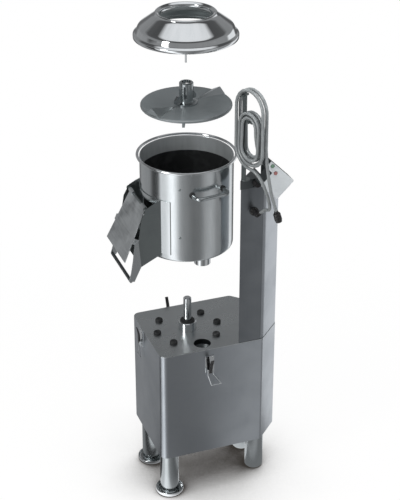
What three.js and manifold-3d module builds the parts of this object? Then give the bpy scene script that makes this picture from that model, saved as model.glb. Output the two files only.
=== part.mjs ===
// Floor-standing electric potato peeler, shown lifted apart along its shaft.
// Units are millimetres, +Z is up and the floor is z = 0 while the pieces are made.
// The shaft axis is x = 0, y = 0. The front is -Y, the discharge chute points to -X
// and the control column stands at the +X end of the cabinet.

import * as THREE from 'three';
import { mergeVertices } from 'three/addons/utils/BufferGeometryUtils.js';
import Module from 'manifold-3d';

const wasm = await Module();
wasm.setup();

// General clearances and sheet sizes
const seatGap = 0.3;
const cutOverrun = 5;
const sheetThickness = 2.5;
const degree = Math.PI / 180;
const roundSides = 48;
const tubeSides = 24;
const pinSides = 16;
const cornerSteps = 4;
const bendSteps = 3;

// Legs and feet
const legHeight = 220;
const legDiameter = 80;
const legWall = 3;
const legLeftX = -130;
const legLeftY = 124;
const legRightX = 284;
const legRightY = 76;
const footDiameter = 120;
const footRimHeight = 20;
const footSole = 6;
const footWall = 4;
const footSpigotHeight = 12;
const plugThickness = 10;
const plugChamfer = 8;

// Cabinet
const cabinetLeft = 184;
const cabinetRight = 366;
const cabinetDepth = 384;
const cabinetHeight = 510;
const cornerChamfer = 102;
const cornerRadius = 30;
const topPlateThickness = 3;
const baseFrameWidth = 118;
const baseFrameThickness = 4;
const plateTop = legHeight + cabinetHeight;
const plateUnder = plateTop - topPlateThickness;

// Service panel on the back of the cabinet
const panelWidth = 300;
const panelMargin = 40;
const panelTopMargin = 110;
const panelHeight = cabinetHeight - panelMargin - panelTopMargin;
const panelCentreX = 90;
const panelBottom = legHeight + panelMargin;
const panelThickness = 1.5;
const panelLap = 16;
const ventCount = 6;
const ventWidth = 90;
const ventHeight = 6;
const ventPitch = 16;
const ventColumnShare = 0.7;
const screwRadius = 5;
const screwHeight = 2.5;
const screwShares = [0.04, 0.5, 0.96];

// Bearing housing, seal and shaft
const shaftRadius = 17;
const shaftRise = 150;
const shaftDrop = 275;
const housingRadius = 37.5;
const collarHeight = 38;
const housingBore = 29;
const housingDrop = 165;
const housingFlangeRadius = 72;
const housingFlangeThickness = 8;
const collarChamfer = 3;
const collarLip = 6;
const collarLipHeight = 8;
const bearingWidth = 20;
const sealHeight = 5;
const sealRadius = 31;
const sealSlope = 6;
const sealSlopeHeight = 2;
const shaftChamfer = 4;

// Bumper pads and drain
const padCircleRadius = 134;
const padRadius = 16;
const padHeight = 12;
const padAngles = [0, 45, 135, 180, 225, 315];
const drainX = 16;
const drainEdge = 55;
const drainCircleRadius = cabinetDepth / 2 - drainEdge;
const drainHoleRadius = 36;
const spoutRadius = 33;
const spoutDrop = 33;
const funnelRadius = 44;
const funnelDepth = 60;
const drainPipeRadius = 22;
const drainPipeDrop = 330;

// Belt drive
const drivenPulleyRadius = 90;
const motorPulleyRadius = 30;
const pulleyWidth = 26;
const pulleyFlange = 3;
const grooveDepth = 4;
const grooveGap = 1;
const beltWidth = 18;
const beltThickness = 6;
const beltGap = 0.6;
const beltDrop = 250;
const beltLevel = plateTop - beltDrop;
const beltBigSteps = 26;
const beltSmallSteps = 10;
const motorX = 200;
const motorRadius = 68;
const motorHeight = 190;
const motorShaftRadius = 9;
const motorFins = 16;
const motorFinDepth = 7;
const motorFinThickness = 4;
const motorFinBottom = 20;
const motorFinTop = 30;
const motorFlangeHeight = 14;
const terminalWidth = 60;
const terminalBottom = 60;
const terminalTop = 120;
const terminalReach = 12;
const bracketRise = 14;
const bracketThickness = 5;
const bracketWidth = 176;
const bracketDepth = 160;
const bracketCheekInset = 20;
const bracketLip = 24;

// Drum
const drumRadius = 188;
const drumHeight = 398;
const drumSeat = plateTop + padHeight + seatGap;
const drumTravel = 404;
const drumBottom = drumSeat + drumTravel;
const drumCornerRadius = 12;
const rimBeadRadius = 5.5;
const rimBeadCentreRadius = 196.5;
const rimBeadStart = -135 * degree;
const rimNeck = 1;
const rimSteps = 6;
const drumHoleRadius = 44;
const upstandHeight = 32;
const liningClearance = 0.4;
const liningThickness = 2.8;
const liningTopDrop = 73;
const liningBottom = 8;

// Drum handle
const handleAngle = -82 * degree;
const handleLevel = 298;
const handleHalfLength = 68;
const handleReach = 38.5;
const handleRadius = 8;
const handleCorner = 20;
const handlePadRadius = 12;
const handlePadThickness = 8;
const handleSides = 12;

// Discharge chute on the left of the drum
const chuteHalfWidth = 118;
const chuteOutline = [[-100, 262], [-142, 266], [-178, 253], [-206, 238], [-230, 194], [-245, 98]];
const chuteLipReach = 236;
const chuteLipLevel = -17;
const chuteRootReach = 130;
const chuteRootLevel = 36;
const hookNear = 212;
const hookFar = 224;
const hookBottom = -22;
const windowBottom = 36;
const windowTop = 240;
const flangeSideMargin = 28;
const flangeTopMargin = 24;
const flangeFootMargin = 6;
const flangeThickness = 3;
const hingeReach = 207;
const hingeLevel = 226;
const hingeRodRadius = 5;
const earRadius = 10;

// Hatch door and its bail
const doorRestAngle = 25 * degree;
const doorLength = 231;
const doorThickness = 3;
const doorHalfWidth = 121;
const doorTopHalf = 95;
const doorTabIn = 105;
const doorTabHalf = 12;
const doorTabDepth = 18;
const knuckleRadius = 9;
const knuckleLength = 40;
const knuckleClearance = 0.6;
const bailPivotShare = 0.585;
const bailPivotInset = 10;
const bailArmThickness = 5;
const bailArmOutline = [
  [-262, 104], [-255, 109], [-248, 104], [-242, 40], [-238, -11],
  [-268, -74], [-290, -66], [-281, -36], [-272, 19]];
const bailBarReach = 282;
const bailBarLevel = -69;
const bailBarRadius = 7;
const bailPinRadius = 4;
const bailPinHead = 2;
const bailSideGap = 0.6;

// Peeling disc
const discRadius = 180;
const discThickness = 12;
const discEdge = 3;
const discSeatRise = 52;
const discSeat = plateTop + discSeatRise;
const discTravel = 960;
const discUnder = discSeat + discTravel;
const discHoleRadius = 18.5;
const finLength = 117;
const finRise = 24;
const finHalfWidth = 44;
const finPeakShift = 12;
const finToe = 1;
const finAngle = 24.5 * degree;
const lugDrop = 18;
const lugRadius = 147;
const lugLength = 54;
const lugThickness = 10;
const lugAngle = -113.5 * degree;
const hubRadius = 28;
const hubBore = 18.2;
const hubHeight = 88;
const hubChamfer = 3;
const hubFillet = 2;
const hubFlangeRadius = 44;
const hubFlangeThickness = 6;
const hubSlotWidth = 12;
const hubSlotBottom = 24;
const hubSlotCover = 12;
const hubSlotTurn = -117;
const hubWingReach = 62;
const hubWingRoot = 22.2;
const hubWingSlope = 14;
const hubWingThickness = 10;
const hubWingBottom = 12;
const hubWingTop = 40;
const hubWingTurn = 25;
const hubShortWingShare = 0.8;

// Lid
const lidRadius = 203;
const lidHeight = 98.5;
const lidBrim = 14;
const lidBrimSlope = 11;
const lidBrimStep = 5;
const lidStepInset = 17;
const lidStepLevel = 38;
const lidShoulderInset = 23;
const lidShoulderLevel = 45;
const lidConeLevel = 86;
const lidRingFoot = 92;
const lidRingLip = 10;
const lidRingRound = 4;
const lidThroatTop = 90;
const lidThroatBottom = 80;
const lidTravel = 888;
const lidSeat = drumSeat + drumHeight + seatGap;
const lidUnder = lidSeat + lidTravel;
const feedHoleRadius = 98;
const lidRingRadius = 120;
const pegRadius = 3.5;
const pegLength = 40;
const pegRoof = 42.8;
const pegNutTop = 5;
const pegNutBottom = 14;
const pegCircleRadius = 178;
const pegAngle = -110 * degree;

// Toggle latches
const latchX = 28;
const latchLeftY = 61;
const latchBackX = -14;
const latchBaseWidth = 40;
const latchBaseHeight = 80;
const latchBaseThickness = 3;
const frontLatch = { topDrop: 32, pivotDrop: 104, leverAngle: 16 * degree, loopLean: 26 };
const leftLatch = { topDrop: 3, pivotDrop: 66, leverAngle: 2 * degree, loopLean: 0 };
const backLatch = { topDrop: 3, pivotDrop: 42, leverAngle: 16 * degree, loopLean: 0 };
const latchEarGap = 15;
const latchEarThickness = 2;
const latchEarDepth = 16;
const latchEarHalf = 6.5;
const latchPivotDepth = 12;
const latchPinRadius = 2.5;
const latchPinOverhang = 1;
const latchScrewRadius = 3.5;
const latchScrewHead = 2;
const latchScrewInset = 8;
const latchScrewOffset = 14;
const leverLength = 74;
const leverTail = 6;
const leverWidth = 13;
const leverThickness = 7;
const leverKneeShare = 0.55;
const leverTipFace = 8.5;
const leverTipBack = 4.5;
const loopPivotRise = 10;
const loopLapShare = 0.7;
const loopWireRadius = 2;
const loopTopHalf = 12.2;
const loopNeck = 22;
const loopFootHalf = 22;
const loopLength = 76;
const catchHeight = 12;
const catchDepth = 10;
const catchRoot = 4;
const catchWidth = 18;
const catchLevel = 16;

// Column and its head
const columnFrontX = 157;
const columnInset = 2;
const columnWallThickness = 2.5;
const columnHeight = 710;
const columnBend = 18;
const headHeight = 40;
const headOverhang = 5;
const headRight = 252;
const headSlotLength = 42;
const headSlotInset = 4;
const headSlotBottom = 6;
const headSlotHeight = 3;
const headSlotDepth = 3;

// Control box, turned by 45 degrees on its pivot
const boxCentreX = 277;
const boxRise = 44;
const boxCentreZ = plateTop + columnHeight + boxRise;
const boxHalf = 50;
const boxBackOut = 21;
const boxThickness = 60;
const boxBackY = -cabinetDepth / 2 - boxBackOut;
const boxFrontY = boxBackY - boxThickness;
const boxCorner = 6;
const boxWall = 4;
const boxFrontDepth = 12;
const glandRadius = 9;
const shoulderReach = 40;
const shoulderBottomShare = 0.35;
const boxTrimShare = 0.6;
const buttonRadius = 7;
const buttonRise = 4;
const buttonRoot = 3.5;
const buttonPocket = 7;
const startAcrossShare = 0.77;
const startShoulderShare = 0.5;
const stopAlongShare = 0.76;
const stopAcrossShare = 0.5;
const knobRadius = 17;
const knobDepth = 16;
const knobGap = 0.5;
const knobTaperShare = 0.88;
const knobMarkWidth = 2.4;
const knobMarkStart = 3;
const knobMarkDepth = 2;
const knobX = 222;
const knobDrop = 19;
const postBaseIn = 74;
const postFaceIn = 32;
const postBaseY = -cabinetDepth / 2 + postBaseIn;
const postFaceY = -cabinetDepth / 2 + postFaceIn;
const postThickness = 6;
const postWidth = 44;
const postTop = 34;
const pivotRadius = 11;

// Hose: outside diameter, the coil's plane and the loops in it
const hoseDiameter = 13;
const coilX = 177;
const coilOut = 46;
const coilRise = 271;
const coilY = -cabinetDepth / 2 - coilOut;
const coilZ = plateTop + columnHeight + coilRise;
const coilTurn = -72 * degree;
const layerOffset = 9.5;
const outerLoopRadius = 78;
const outerLoopStraight = 82;
const ringDrop = 34;
const ringStraight = 44;
const ringOuterRadius = 64.5;
const ringInnerRadius = 34;
const ringStart = 1;
const ringReverse = 3.2;
const ringEnd = 5;
const coilStart = 0.195;
const coilEnd = 6;
const moveShare = 0.16;
const climbShare = 0.35;
const stepsPerTurn = 24;
const coilSides = 6;
const tailSides = 8;
const freeSteps = 22;
const inletSteps = 30;
const connectorRadius = 15;
const connectorLength = 38;
const connectorNeck = 10;
const connectorSleeve = 2;
const connectorLap = 1;

// Hanger bar that stands in the coil
const hangerWidth = 24;
const hangerThickness = 4;
const hangerOffset = -41;
const hangerTopClearance = 4;
const hangerFootRadius = 18;
const hangerFootThickness = 4;
const hangerFootShiftX = 12;
const hangerFootShiftY = 8;
const hangerPegRadius = 5;
const hangerPegHalf = 17;
const hangerArmOverlap = 6;

// Inlet elbow on the column's front face
const inletX = 216;
const inletDrop = 106;
const inletZ = plateTop + columnHeight - inletDrop;
const inletFlangeRadius = 18;
const inletFlangeThickness = 5;
const inletBodyRadius = 11;
const inletReach = 30;
const inletBarbLength = 26;
const inletBarbRadius = 8;
const inletBarbLean = new THREE.Vector3(0.24, -0.73, 0.64).normalize();

// Materials with the colours of the real surfaces
const brushedSteel = new THREE.MeshStandardMaterial({ color: 0x8d9496, roughness: 0.38, metalness: 1 });
const polishedSteel = new THREE.MeshStandardMaterial({ color: 0xc4cacc, roughness: 0.16, metalness: 1 });
const discMetal = new THREE.MeshStandardMaterial({ color: 0x7d8284, roughness: 0.6, metalness: 0.8 });
const darkLining = new THREE.MeshStandardMaterial({ color: 0x16181a, roughness: 0.75, metalness: 0 });
const blackRubber = new THREE.MeshStandardMaterial({ color: 0x0d0e0f, roughness: 0.8, metalness: 0 });
const greyHose = new THREE.MeshStandardMaterial({ color: 0x767b7c, roughness: 0.35, metalness: 0 });
const paleSteel = new THREE.MeshStandardMaterial({ color: 0xc9d1d4, roughness: 0.35, metalness: 0.9 });
const paintedMotor = new THREE.MeshStandardMaterial({ color: 0x3c4650, roughness: 0.5, metalness: 0.3 });
const greenPlastic = new THREE.MeshStandardMaterial({ color: 0x2f8a4a, roughness: 0.4, metalness: 0 });
const redPlastic = new THREE.MeshStandardMaterial({ color: 0xa32420, roughness: 0.4, metalness: 0 });

// Solid helpers: three.js shapes become closed solids, and back again
function solidFrom(geometry) {
  const bare = geometry.clone();
  bare.deleteAttribute('normal');
  bare.deleteAttribute('uv');
  const merged = mergeVertices(bare, 1e-4);
  const place = merged.attributes.position;
  const corners = merged.index.array;
  const kept = [];
  let volume = 0;
  const a = new THREE.Vector3();
  const b = new THREE.Vector3();
  const c = new THREE.Vector3();
  for (let i = 0; i < corners.length; i += 3) {
    const [p, q, r] = [corners[i], corners[i + 1], corners[i + 2]];
    if (p === q || q === r || r === p) continue;
    kept.push(p, q, r);
    volume += a.fromBufferAttribute(place, p).dot(
      b.fromBufferAttribute(place, q).cross(c.fromBufferAttribute(place, r)));
  }
  if (volume < 0) kept.reverse();
  return new wasm.Manifold(new wasm.Mesh({
    numProp: 3,
    vertProperties: new Float32Array(place.array),
    triVerts: new Uint32Array(kept),
  }));
}

function geometryFrom(solid) {
  const mesh = solid.getMesh();
  const geometry = new THREE.BufferGeometry();
  geometry.setAttribute('position', new THREE.BufferAttribute(new Float32Array(mesh.vertProperties), 3));
  geometry.setIndex(new THREE.BufferAttribute(new Uint32Array(mesh.triVerts), 1));
  geometry.computeVertexNormals();
  return geometry;
}

function joined(...solids) {
  return solids.reduce((whole, piece) => whole.add(piece));
}

function block(low, high) {
  const size = high.map((value, axis) => value - low[axis]);
  const geometry = new THREE.BoxGeometry(...size);
  geometry.translate(...low.map((value, axis) => value + size[axis] / 2));
  return solidFrom(geometry);
}

function rod(radius, bottom, top, x = 0, y = 0, sides = 32) {
  const geometry = new THREE.CylinderGeometry(radius, radius, top - bottom, sides);
  geometry.rotateX(Math.PI / 2);
  geometry.translate(x, y, (bottom + top) / 2);
  return solidFrom(geometry);
}

function rodBetween(radius, start, end, sides = 20, endRadius = radius) {
  const along = new THREE.Vector3().subVectors(end, start);
  const geometry = new THREE.CylinderGeometry(endRadius, radius, along.length(), sides);
  const turn = new THREE.Quaternion().setFromUnitVectors(
    new THREE.Vector3(0, 1, 0), along.clone().normalize());
  geometry.applyQuaternion(turn);
  const middle = start.clone().add(end).multiplyScalar(1 / 2);
  geometry.translate(middle.x, middle.y, middle.z);
  return solidFrom(geometry);
}

function turned(profile, segments = 60) {
  const points = profile.map(([radius, level]) => new THREE.Vector2(radius, level));
  points.push(points[0].clone());
  const geometry = new THREE.LatheGeometry(points, segments);
  geometry.rotateX(Math.PI / 2);
  return solidFrom(geometry);
}

function prism(outline, bottom, top) {
  const shape = new THREE.Shape(outline.map(([x, y]) => new THREE.Vector2(x, y)));
  const geometry = new THREE.ExtrudeGeometry(shape, { depth: top - bottom, bevelEnabled: false });
  geometry.translate(0, 0, bottom);
  return solidFrom(geometry);
}

// A side profile in x and z, extruded between two y values
function sideProfile(outline, lowY, highY) {
  const shape = new THREE.Shape(outline.map(([x, z]) => new THREE.Vector2(x, z)));
  const geometry = new THREE.ExtrudeGeometry(shape, { depth: highY - lowY, bevelEnabled: false });
  geometry.rotateX(Math.PI / 2);
  geometry.translate(0, highY, 0);
  return solidFrom(geometry);
}

function arcPoints(centreX, centreY, radius, from, to, steps) {
  return Array.from({ length: steps + 1 }, (_, i) => {
    const angle = from + ((to - from) * i) / steps;
    return [centreX + radius * Math.cos(angle), centreY + radius * Math.sin(angle)];
  });
}

// A round tube swept through rings of points, with flat ends
function sweptTube(centres, radius, sides) {
  const count = centres.length;
  const tangents = centres.map((_, i) => new THREE.Vector3().subVectors(
    centres[Math.min(i + 1, count - 1)], centres[Math.max(i - 1, 0)]).normalize());
  let normal = new THREE.Vector3(1, 0, 0);
  if (Math.abs(tangents[0].x) > Math.abs(tangents[0].z)) normal.set(0, 0, 1);
  const place = [];
  for (let i = 0; i < count; i += 1) {
    normal = normal.clone().addScaledVector(tangents[i], -normal.dot(tangents[i])).normalize();
    const binormal = new THREE.Vector3().crossVectors(tangents[i], normal);
    for (let k = 0; k < sides; k += 1) {
      const angle = (2 * Math.PI * k) / sides;
      const point = centres[i].clone()
        .addScaledVector(normal, radius * Math.cos(angle))
        .addScaledVector(binormal, radius * Math.sin(angle));
      place.push(point.x, point.y, point.z);
    }
  }
  const corners = [];
  for (let i = 0; i + 1 < count; i += 1) {
    for (let k = 0; k < sides; k += 1) {
      const next = (k + 1) % sides;
      const [p, q] = [i * sides + k, i * sides + next];
      corners.push(p, q, q + sides, p, q + sides, p + sides);
    }
  }
  for (let k = 1; k + 1 < sides; k += 1) {
    corners.push(0, k + 1, k);
    const last = (count - 1) * sides;
    corners.push(last, last + k, last + k + 1);
  }
  const geometry = new THREE.BufferGeometry();
  geometry.setAttribute('position', new THREE.BufferAttribute(new Float32Array(place), 3));
  geometry.setIndex(corners);
  return solidFrom(geometry);
}

function smoothTube(points, radius, sides, steps) {
  const ring = Array.from({ length: sides }, (_, k) => {
    const angle = (2 * Math.PI * k) / sides;
    return new THREE.Vector2(radius * Math.cos(angle), radius * Math.sin(angle));
  });
  return solidFrom(new THREE.ExtrudeGeometry(new THREE.Shape(ring), {
    steps, bevelEnabled: false, extrudePath: new THREE.CatmullRomCurve3(points),
  }));
}

const machine = new THREE.Group();

function addPiece(name, solid, material) {
  const mesh = new THREE.Mesh(geometryFrom(solid), material);
  mesh.name = name;
  machine.add(mesh);
  return mesh;
}

// The cabinet's plan, drawn in by an inset
function cabinetOutline(inset) {
  const left = -cabinetLeft + inset;
  const right = cabinetRight - inset;
  const half = cabinetDepth / 2 - inset;
  const radius = Math.max(cornerRadius - inset, sheetThickness);
  const bevelX = cabinetRight - cornerChamfer - inset * (Math.SQRT2 - 1);
  const bevelY = cabinetDepth / 2 - cornerChamfer - inset * (Math.SQRT2 - 1);
  return [
    ...arcPoints(left + radius, -half + radius, radius, -Math.PI, -Math.PI / 2, cornerSteps),
    [bevelX, -half], [right, -bevelY],
    [right, bevelY], [bevelX, half],
    ...arcPoints(left + radius, half - radius, radius, Math.PI / 2, Math.PI, cornerSteps),
  ];
}

function makeCabinet() {
  const bottom = legHeight;
  const outer = prism(cabinetOutline(0), bottom, plateUnder);
  const inner = prism(cabinetOutline(sheetThickness), bottom - cutOverrun, plateUnder + cutOverrun);
  const panelHole = block(
    [panelCentreX - panelWidth / 2 + panelLap, 0, panelBottom + panelLap],
    [panelCentreX + panelWidth / 2 - panelLap, cabinetDepth / 2 + cutOverrun,
      panelBottom + panelHeight - panelLap]);
  addPiece('cabinet_shell', outer.subtract(inner).subtract(panelHole), brushedSteel);

  const frameInset = sheetThickness + seatGap;
  const ring = prism(cabinetOutline(frameInset), bottom, bottom + baseFrameThickness)
    .subtract(prism(cabinetOutline(frameInset + baseFrameWidth),
      bottom - cutOverrun, bottom + baseFrameThickness + cutOverrun));
  addPiece('base_frame', ring, brushedSteel);

  const plate = prism(cabinetOutline(0), plateUnder, plateTop)
    .subtract(rod(housingRadius + seatGap, plateUnder - cutOverrun, plateTop + cutOverrun))
    .subtract(rod(drainHoleRadius, plateUnder - cutOverrun, plateTop + cutOverrun,
      drainX, -drainCircleRadius));
  addPiece('top_plate', plate, brushedSteel);
}

function makeServicePanel() {
  const face = cabinetDepth / 2;
  const left = panelCentreX - panelWidth / 2;
  let panel = block([left, face, panelBottom],
    [left + panelWidth, face + panelThickness, panelBottom + panelHeight]);
  for (const column of [-1, 1]) {
    for (let row = 0; row < ventCount; row += 1) {
      const x = panelCentreX + column * ventWidth * ventColumnShare;
      const z = panelBottom + panelHeight / 2 + (row - (ventCount - 1) / 2) * ventPitch;
      panel = panel.subtract(block([x - ventWidth / 2, face - cutOverrun, z],
        [x + ventWidth / 2, face + cutOverrun, z + ventHeight]));
    }
  }
  for (const x of [left + panelLap / 2, left + panelWidth - panelLap / 2]) {
    for (const share of screwShares) {
      const z = panelBottom + panelHeight * share;
      panel = panel.add(rodBetween(screwRadius, new THREE.Vector3(x, face + panelThickness / 2, z),
        new THREE.Vector3(x, face + panelThickness + screwHeight, z), pinSides));
    }
  }
  addPiece('service_panel', panel, brushedSteel);
}

// Round tube legs: dished feet on the left pair, plain end plugs on the right pair
function makeLegs() {
  const places = [
    ['front_left', legLeftX, -legLeftY, true], ['back_left', legLeftX, legLeftY, true],
    ['front_right', legRightX, -legRightY, false], ['back_right', legRightX, legRightY, false],
  ];
  for (const [place, x, y, dished] of places) {
    const outer = legDiameter / 2;
    const inner = outer - legWall;
    const bottom = dished ? footSole : plugThickness;
    let leg = rod(outer, bottom, legHeight, x, y, tubeSides)
      .subtract(rod(inner, bottom - cutOverrun, legHeight + cutOverrun, x, y, tubeSides));
    const spigot = inner - seatGap;
    if (dished) {
      const rim = footDiameter / 2;
      const foot = turned([[0, 0], [rim - footWall * 2, 0], [rim, footWall * 2], [rim, footRimHeight],
        [rim - footWall, footRimHeight], [rim - footWall, footWall * 2 + footWall / 2],
        [rim - footWall * 2.5, footSole], [spigot, footSole], [spigot, footSole + footSpigotHeight],
        [0, footSole + footSpigotHeight]], tubeSides).translate([x, y, 0]);
      addPiece(`foot_${place}`, foot, polishedSteel);
    } else {
      const end = turned([[0, 0], [outer - plugChamfer, 0], [outer, plugChamfer],
        [outer, plugThickness + legWall], [inner, plugThickness + legWall],
        [inner, plugThickness], [0, plugThickness]], tubeSides);
      leg = leg.add(end.translate([x, y, 0]));
    }
    addPiece(`leg_${place}`, leg, brushedSteel);
  }
}

function makePads() {
  padAngles.forEach((angle, i) => {
    const x = padCircleRadius * Math.cos(angle * degree);
    const y = padCircleRadius * Math.sin(angle * degree);
    const crown = padHeight / 3;
    const pad = turned([[0, 0], [padRadius, 0], [padRadius, padHeight - crown],
      [padRadius - crown, padHeight], [0, padHeight]], pinSides).translate([x, y, plateTop]);
    addPiece(`bumper_pad_${i + 1}`, pad, blackRubber);
  });
}

function makeShaftGroup() {
  const collarTop = plateTop + collarHeight;
  const low = plateTop - housingDrop;
  const flangeTop = plateUnder;
  const housing = turned([
    [housingBore, low], [housingRadius, low], [housingRadius, flangeTop - housingFlangeThickness],
    [housingFlangeRadius, flangeTop - housingFlangeThickness], [housingFlangeRadius, flangeTop],
    [housingRadius, flangeTop], [housingRadius, collarTop - collarChamfer],
    [housingRadius - collarChamfer, collarTop], [housingBore - collarLip, collarTop],
    [housingBore - collarLip, collarTop - collarLipHeight],
    [housingBore, collarTop - collarLipHeight]], tubeSides);
  addPiece('bearing_housing', housing, polishedSteel);

  const inner = shaftRadius + seatGap;
  const outer = housingBore - seatGap;
  const bearing = (level) => turned([[inner, level], [outer, level],
    [outer, level + bearingWidth], [inner, level + bearingWidth]], tubeSides);
  const upperLevel = collarTop - collarLipHeight - seatGap - bearingWidth;
  addPiece('upper_bearing', bearing(upperLevel), brushedSteel);
  addPiece('lower_bearing', bearing(low), brushedSteel);

  const seal = turned([[inner, collarTop], [sealRadius, collarTop],
    [sealRadius, collarTop + sealHeight - sealSlopeHeight],
    [sealRadius - sealSlope, collarTop + sealHeight],
    [inner, collarTop + sealHeight]], tubeSides);
  addPiece('shaft_seal', seal, blackRubber);

  const shaftTop = plateTop + shaftRise;
  const shaft = turned([[0, plateTop - shaftDrop], [shaftRadius, plateTop - shaftDrop],
    [shaftRadius, shaftTop - shaftChamfer], [shaftRadius - shaftChamfer, shaftTop],
    [0, shaftTop]], tubeSides);
  addPiece('drive_shaft', shaft, polishedSteel);
}

function pulley(radius, bore, x) {
  const half = pulleyWidth / 2;
  const groove = beltWidth / 2 + grooveGap;
  const rim = radius + pulleyFlange;
  const floor = radius - grooveDepth;
  return turned([[bore, beltLevel - half], [rim, beltLevel - half], [rim, beltLevel - groove],
    [floor, beltLevel - groove], [floor, beltLevel + groove], [rim, beltLevel + groove],
    [rim, beltLevel + half], [bore, beltLevel + half]], tubeSides).translate([x, 0, 0]);
}

// The open belt's outline round both pulleys, at a distance from their running faces
function beltOutline(offset) {
  const big = drivenPulleyRadius - grooveDepth + offset;
  const small = motorPulleyRadius - grooveDepth + offset;
  const lean = Math.acos((big - small) / motorX);
  return [
    ...arcPoints(0, 0, big, lean, 2 * Math.PI - lean, beltBigSteps),
    ...arcPoints(motorX, 0, small, -lean, lean, beltSmallSteps),
  ];
}

function makeDrive() {
  addPiece('driven_pulley', pulley(drivenPulleyRadius, shaftRadius + seatGap, 0), brushedSteel);
  const outside = beltOutline(beltGap + beltThickness);
  const belt = prism(outside, beltLevel - beltWidth / 2, beltLevel + beltWidth / 2)
    .subtract(prism(beltOutline(beltGap), beltLevel - beltWidth, beltLevel + beltWidth));
  addPiece('drive_belt', belt, blackRubber);

  const bracketLevel = beltLevel + pulleyWidth / 2 + bracketRise;
  const bracketTop = bracketLevel + bracketThickness;
  const motorBottom = bracketTop;
  const shaftTop = motorBottom - seatGap;
  const motorPulley = pulley(motorPulleyRadius, 0, motorX)
    .add(rod(motorShaftRadius, beltLevel - pulleyWidth / 2, shaftTop, motorX, 0, pinSides));
  addPiece('motor_pulley', motorPulley, brushedSteel);

  let motor = rod(motorRadius - motorFinDepth, motorBottom, motorBottom + motorHeight, motorX, 0, 32);
  for (let i = 0; i < motorFins; i += 1) {
    const angle = (i / motorFins) * 2 * Math.PI;
    const fin = block(
      [motorRadius - motorFinDepth * 2, -motorFinThickness / 2, motorBottom + motorFinBottom],
      [motorRadius, motorFinThickness / 2, motorBottom + motorHeight - motorFinTop])
      .rotate([0, 0, angle / degree]).translate([motorX, 0, 0]);
    motor = motor.add(fin);
  }
  motor = motor.add(rod(motorRadius, motorBottom, motorBottom + motorFlangeHeight, motorX, 0, 32));
  motor = motor.add(block(
    [motorX - terminalWidth / 2, motorRadius - motorFinDepth * 2, motorBottom + terminalBottom],
    [motorX + terminalWidth / 2, motorRadius + terminalReach, motorBottom + terminalTop]));
  addPiece('motor_body', motor, paintedMotor);

  const left = motorX - bracketDepth / 2;
  const right = motorX + bracketDepth / 2;
  const half = bracketWidth / 2;
  let bracket = block([left, -half, bracketLevel], [right, half, bracketTop])
    .subtract(rod(motorShaftRadius * 2, bracketLevel - cutOverrun, bracketTop + cutOverrun,
      motorX, 0, pinSides));
  for (const side of [-1, 1]) {
    const y = side * (half - bracketThickness / 2);
    const lip = y + side * bracketLip;
    bracket = bracket.add(block([left + bracketCheekInset, y - bracketThickness / 2, bracketLevel],
      [right - bracketCheekInset, y + bracketThickness / 2, plateUnder]));
    bracket = bracket.add(block([left + bracketCheekInset, Math.min(y, lip), plateUnder - bracketThickness],
      [right - bracketCheekInset, Math.max(y, lip), plateUnder]));
  }
  addPiece('motor_bracket', bracket, brushedSteel);
}

// Funnel under the drain hole, with its outlet pipe going down through the floor frame
function makeDrain() {
  const top = plateUnder;
  const neck = top - funnelDepth;
  const foot = neck - drainPipeDrop;
  const wall = sheetThickness;
  const drain = turned([
    [drainPipeRadius - wall, foot], [drainPipeRadius, foot], [drainPipeRadius, neck],
    [funnelRadius + wall, neck + funnelDepth / 2], [funnelRadius + wall, top],
    [funnelRadius, top], [funnelRadius, neck + funnelDepth / 2 + wall],
    [drainPipeRadius - wall, neck + wall]], tubeSides).translate([drainX, -drainCircleRadius, 0]);
  addPiece('drain_funnel', drain, brushedSteel);
}

function rimBead() {
  return arcPoints(rimBeadCentreRadius, drumHeight - rimBeadRadius, rimBeadRadius,
    rimBeadStart, Math.PI, rimSteps);
}

function makeDrum() {
  const wall = sheetThickness;
  const inner = drumRadius - wall;
  const neck = drumHeight - rimBeadRadius * 2 - rimNeck;
  const soft = drumCornerRadius;
  let shell = turned([
    [drumHoleRadius, 0], ...arcPoints(drumRadius - soft, soft, soft, -Math.PI / 2, 0, bendSteps),
    [drumRadius, neck], ...rimBead(), [inner, neck],
    ...arcPoints(drumRadius - soft, soft, soft - wall, 0, -Math.PI / 2, bendSteps),
    [drumHoleRadius + wall, wall],
    [drumHoleRadius + wall, upstandHeight], [drumHoleRadius, upstandHeight]], roundSides);
  const opening = block([-drumRadius - cutOverrun, -chuteHalfWidth + sheetThickness, windowBottom],
    [-drumHoleRadius, chuteHalfWidth - sheetThickness, windowTop]);
  const spout = rod(spoutRadius, -spoutDrop, wall, drainX, -drainCircleRadius, tubeSides);
  const drainBore = rod(spoutRadius - wall, -spoutDrop - cutOverrun, wall + cutOverrun,
    drainX, -drainCircleRadius, tubeSides);
  shell = shell.subtract(opening).add(spout).subtract(drainBore);
  for (const [x, y] of [[latchX, -1], [latchBackX, 1]]) {
    const face = y * Math.sqrt(drumRadius * drumRadius - x * x);
    const root = face - y * catchRoot;
    const tip = face + y * catchDepth;
    const hook = block([x - catchWidth / 2, Math.min(root, tip), catchLevel],
      [x + catchWidth / 2, Math.max(root, tip), catchLevel + catchHeight]);
    shell = shell.add(hook.subtract(rod(inner, 0, drumHeight, 0, 0, roundSides)));
  }
  addPiece('drum_shell', shell.translate([0, 0, drumBottom]), brushedSteel);

  const liningOuter = inner - liningClearance;
  const liningInner = liningOuter - liningThickness;
  const liningTop = drumHeight - liningTopDrop;
  const lining = turned([[liningInner, liningBottom + soft], [liningOuter, liningBottom + soft],
    [liningOuter, liningTop], [liningInner, liningTop]], roundSides).subtract(opening);
  addPiece('drum_lining', lining.translate([0, 0, drumBottom]), darkLining);
}

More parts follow.
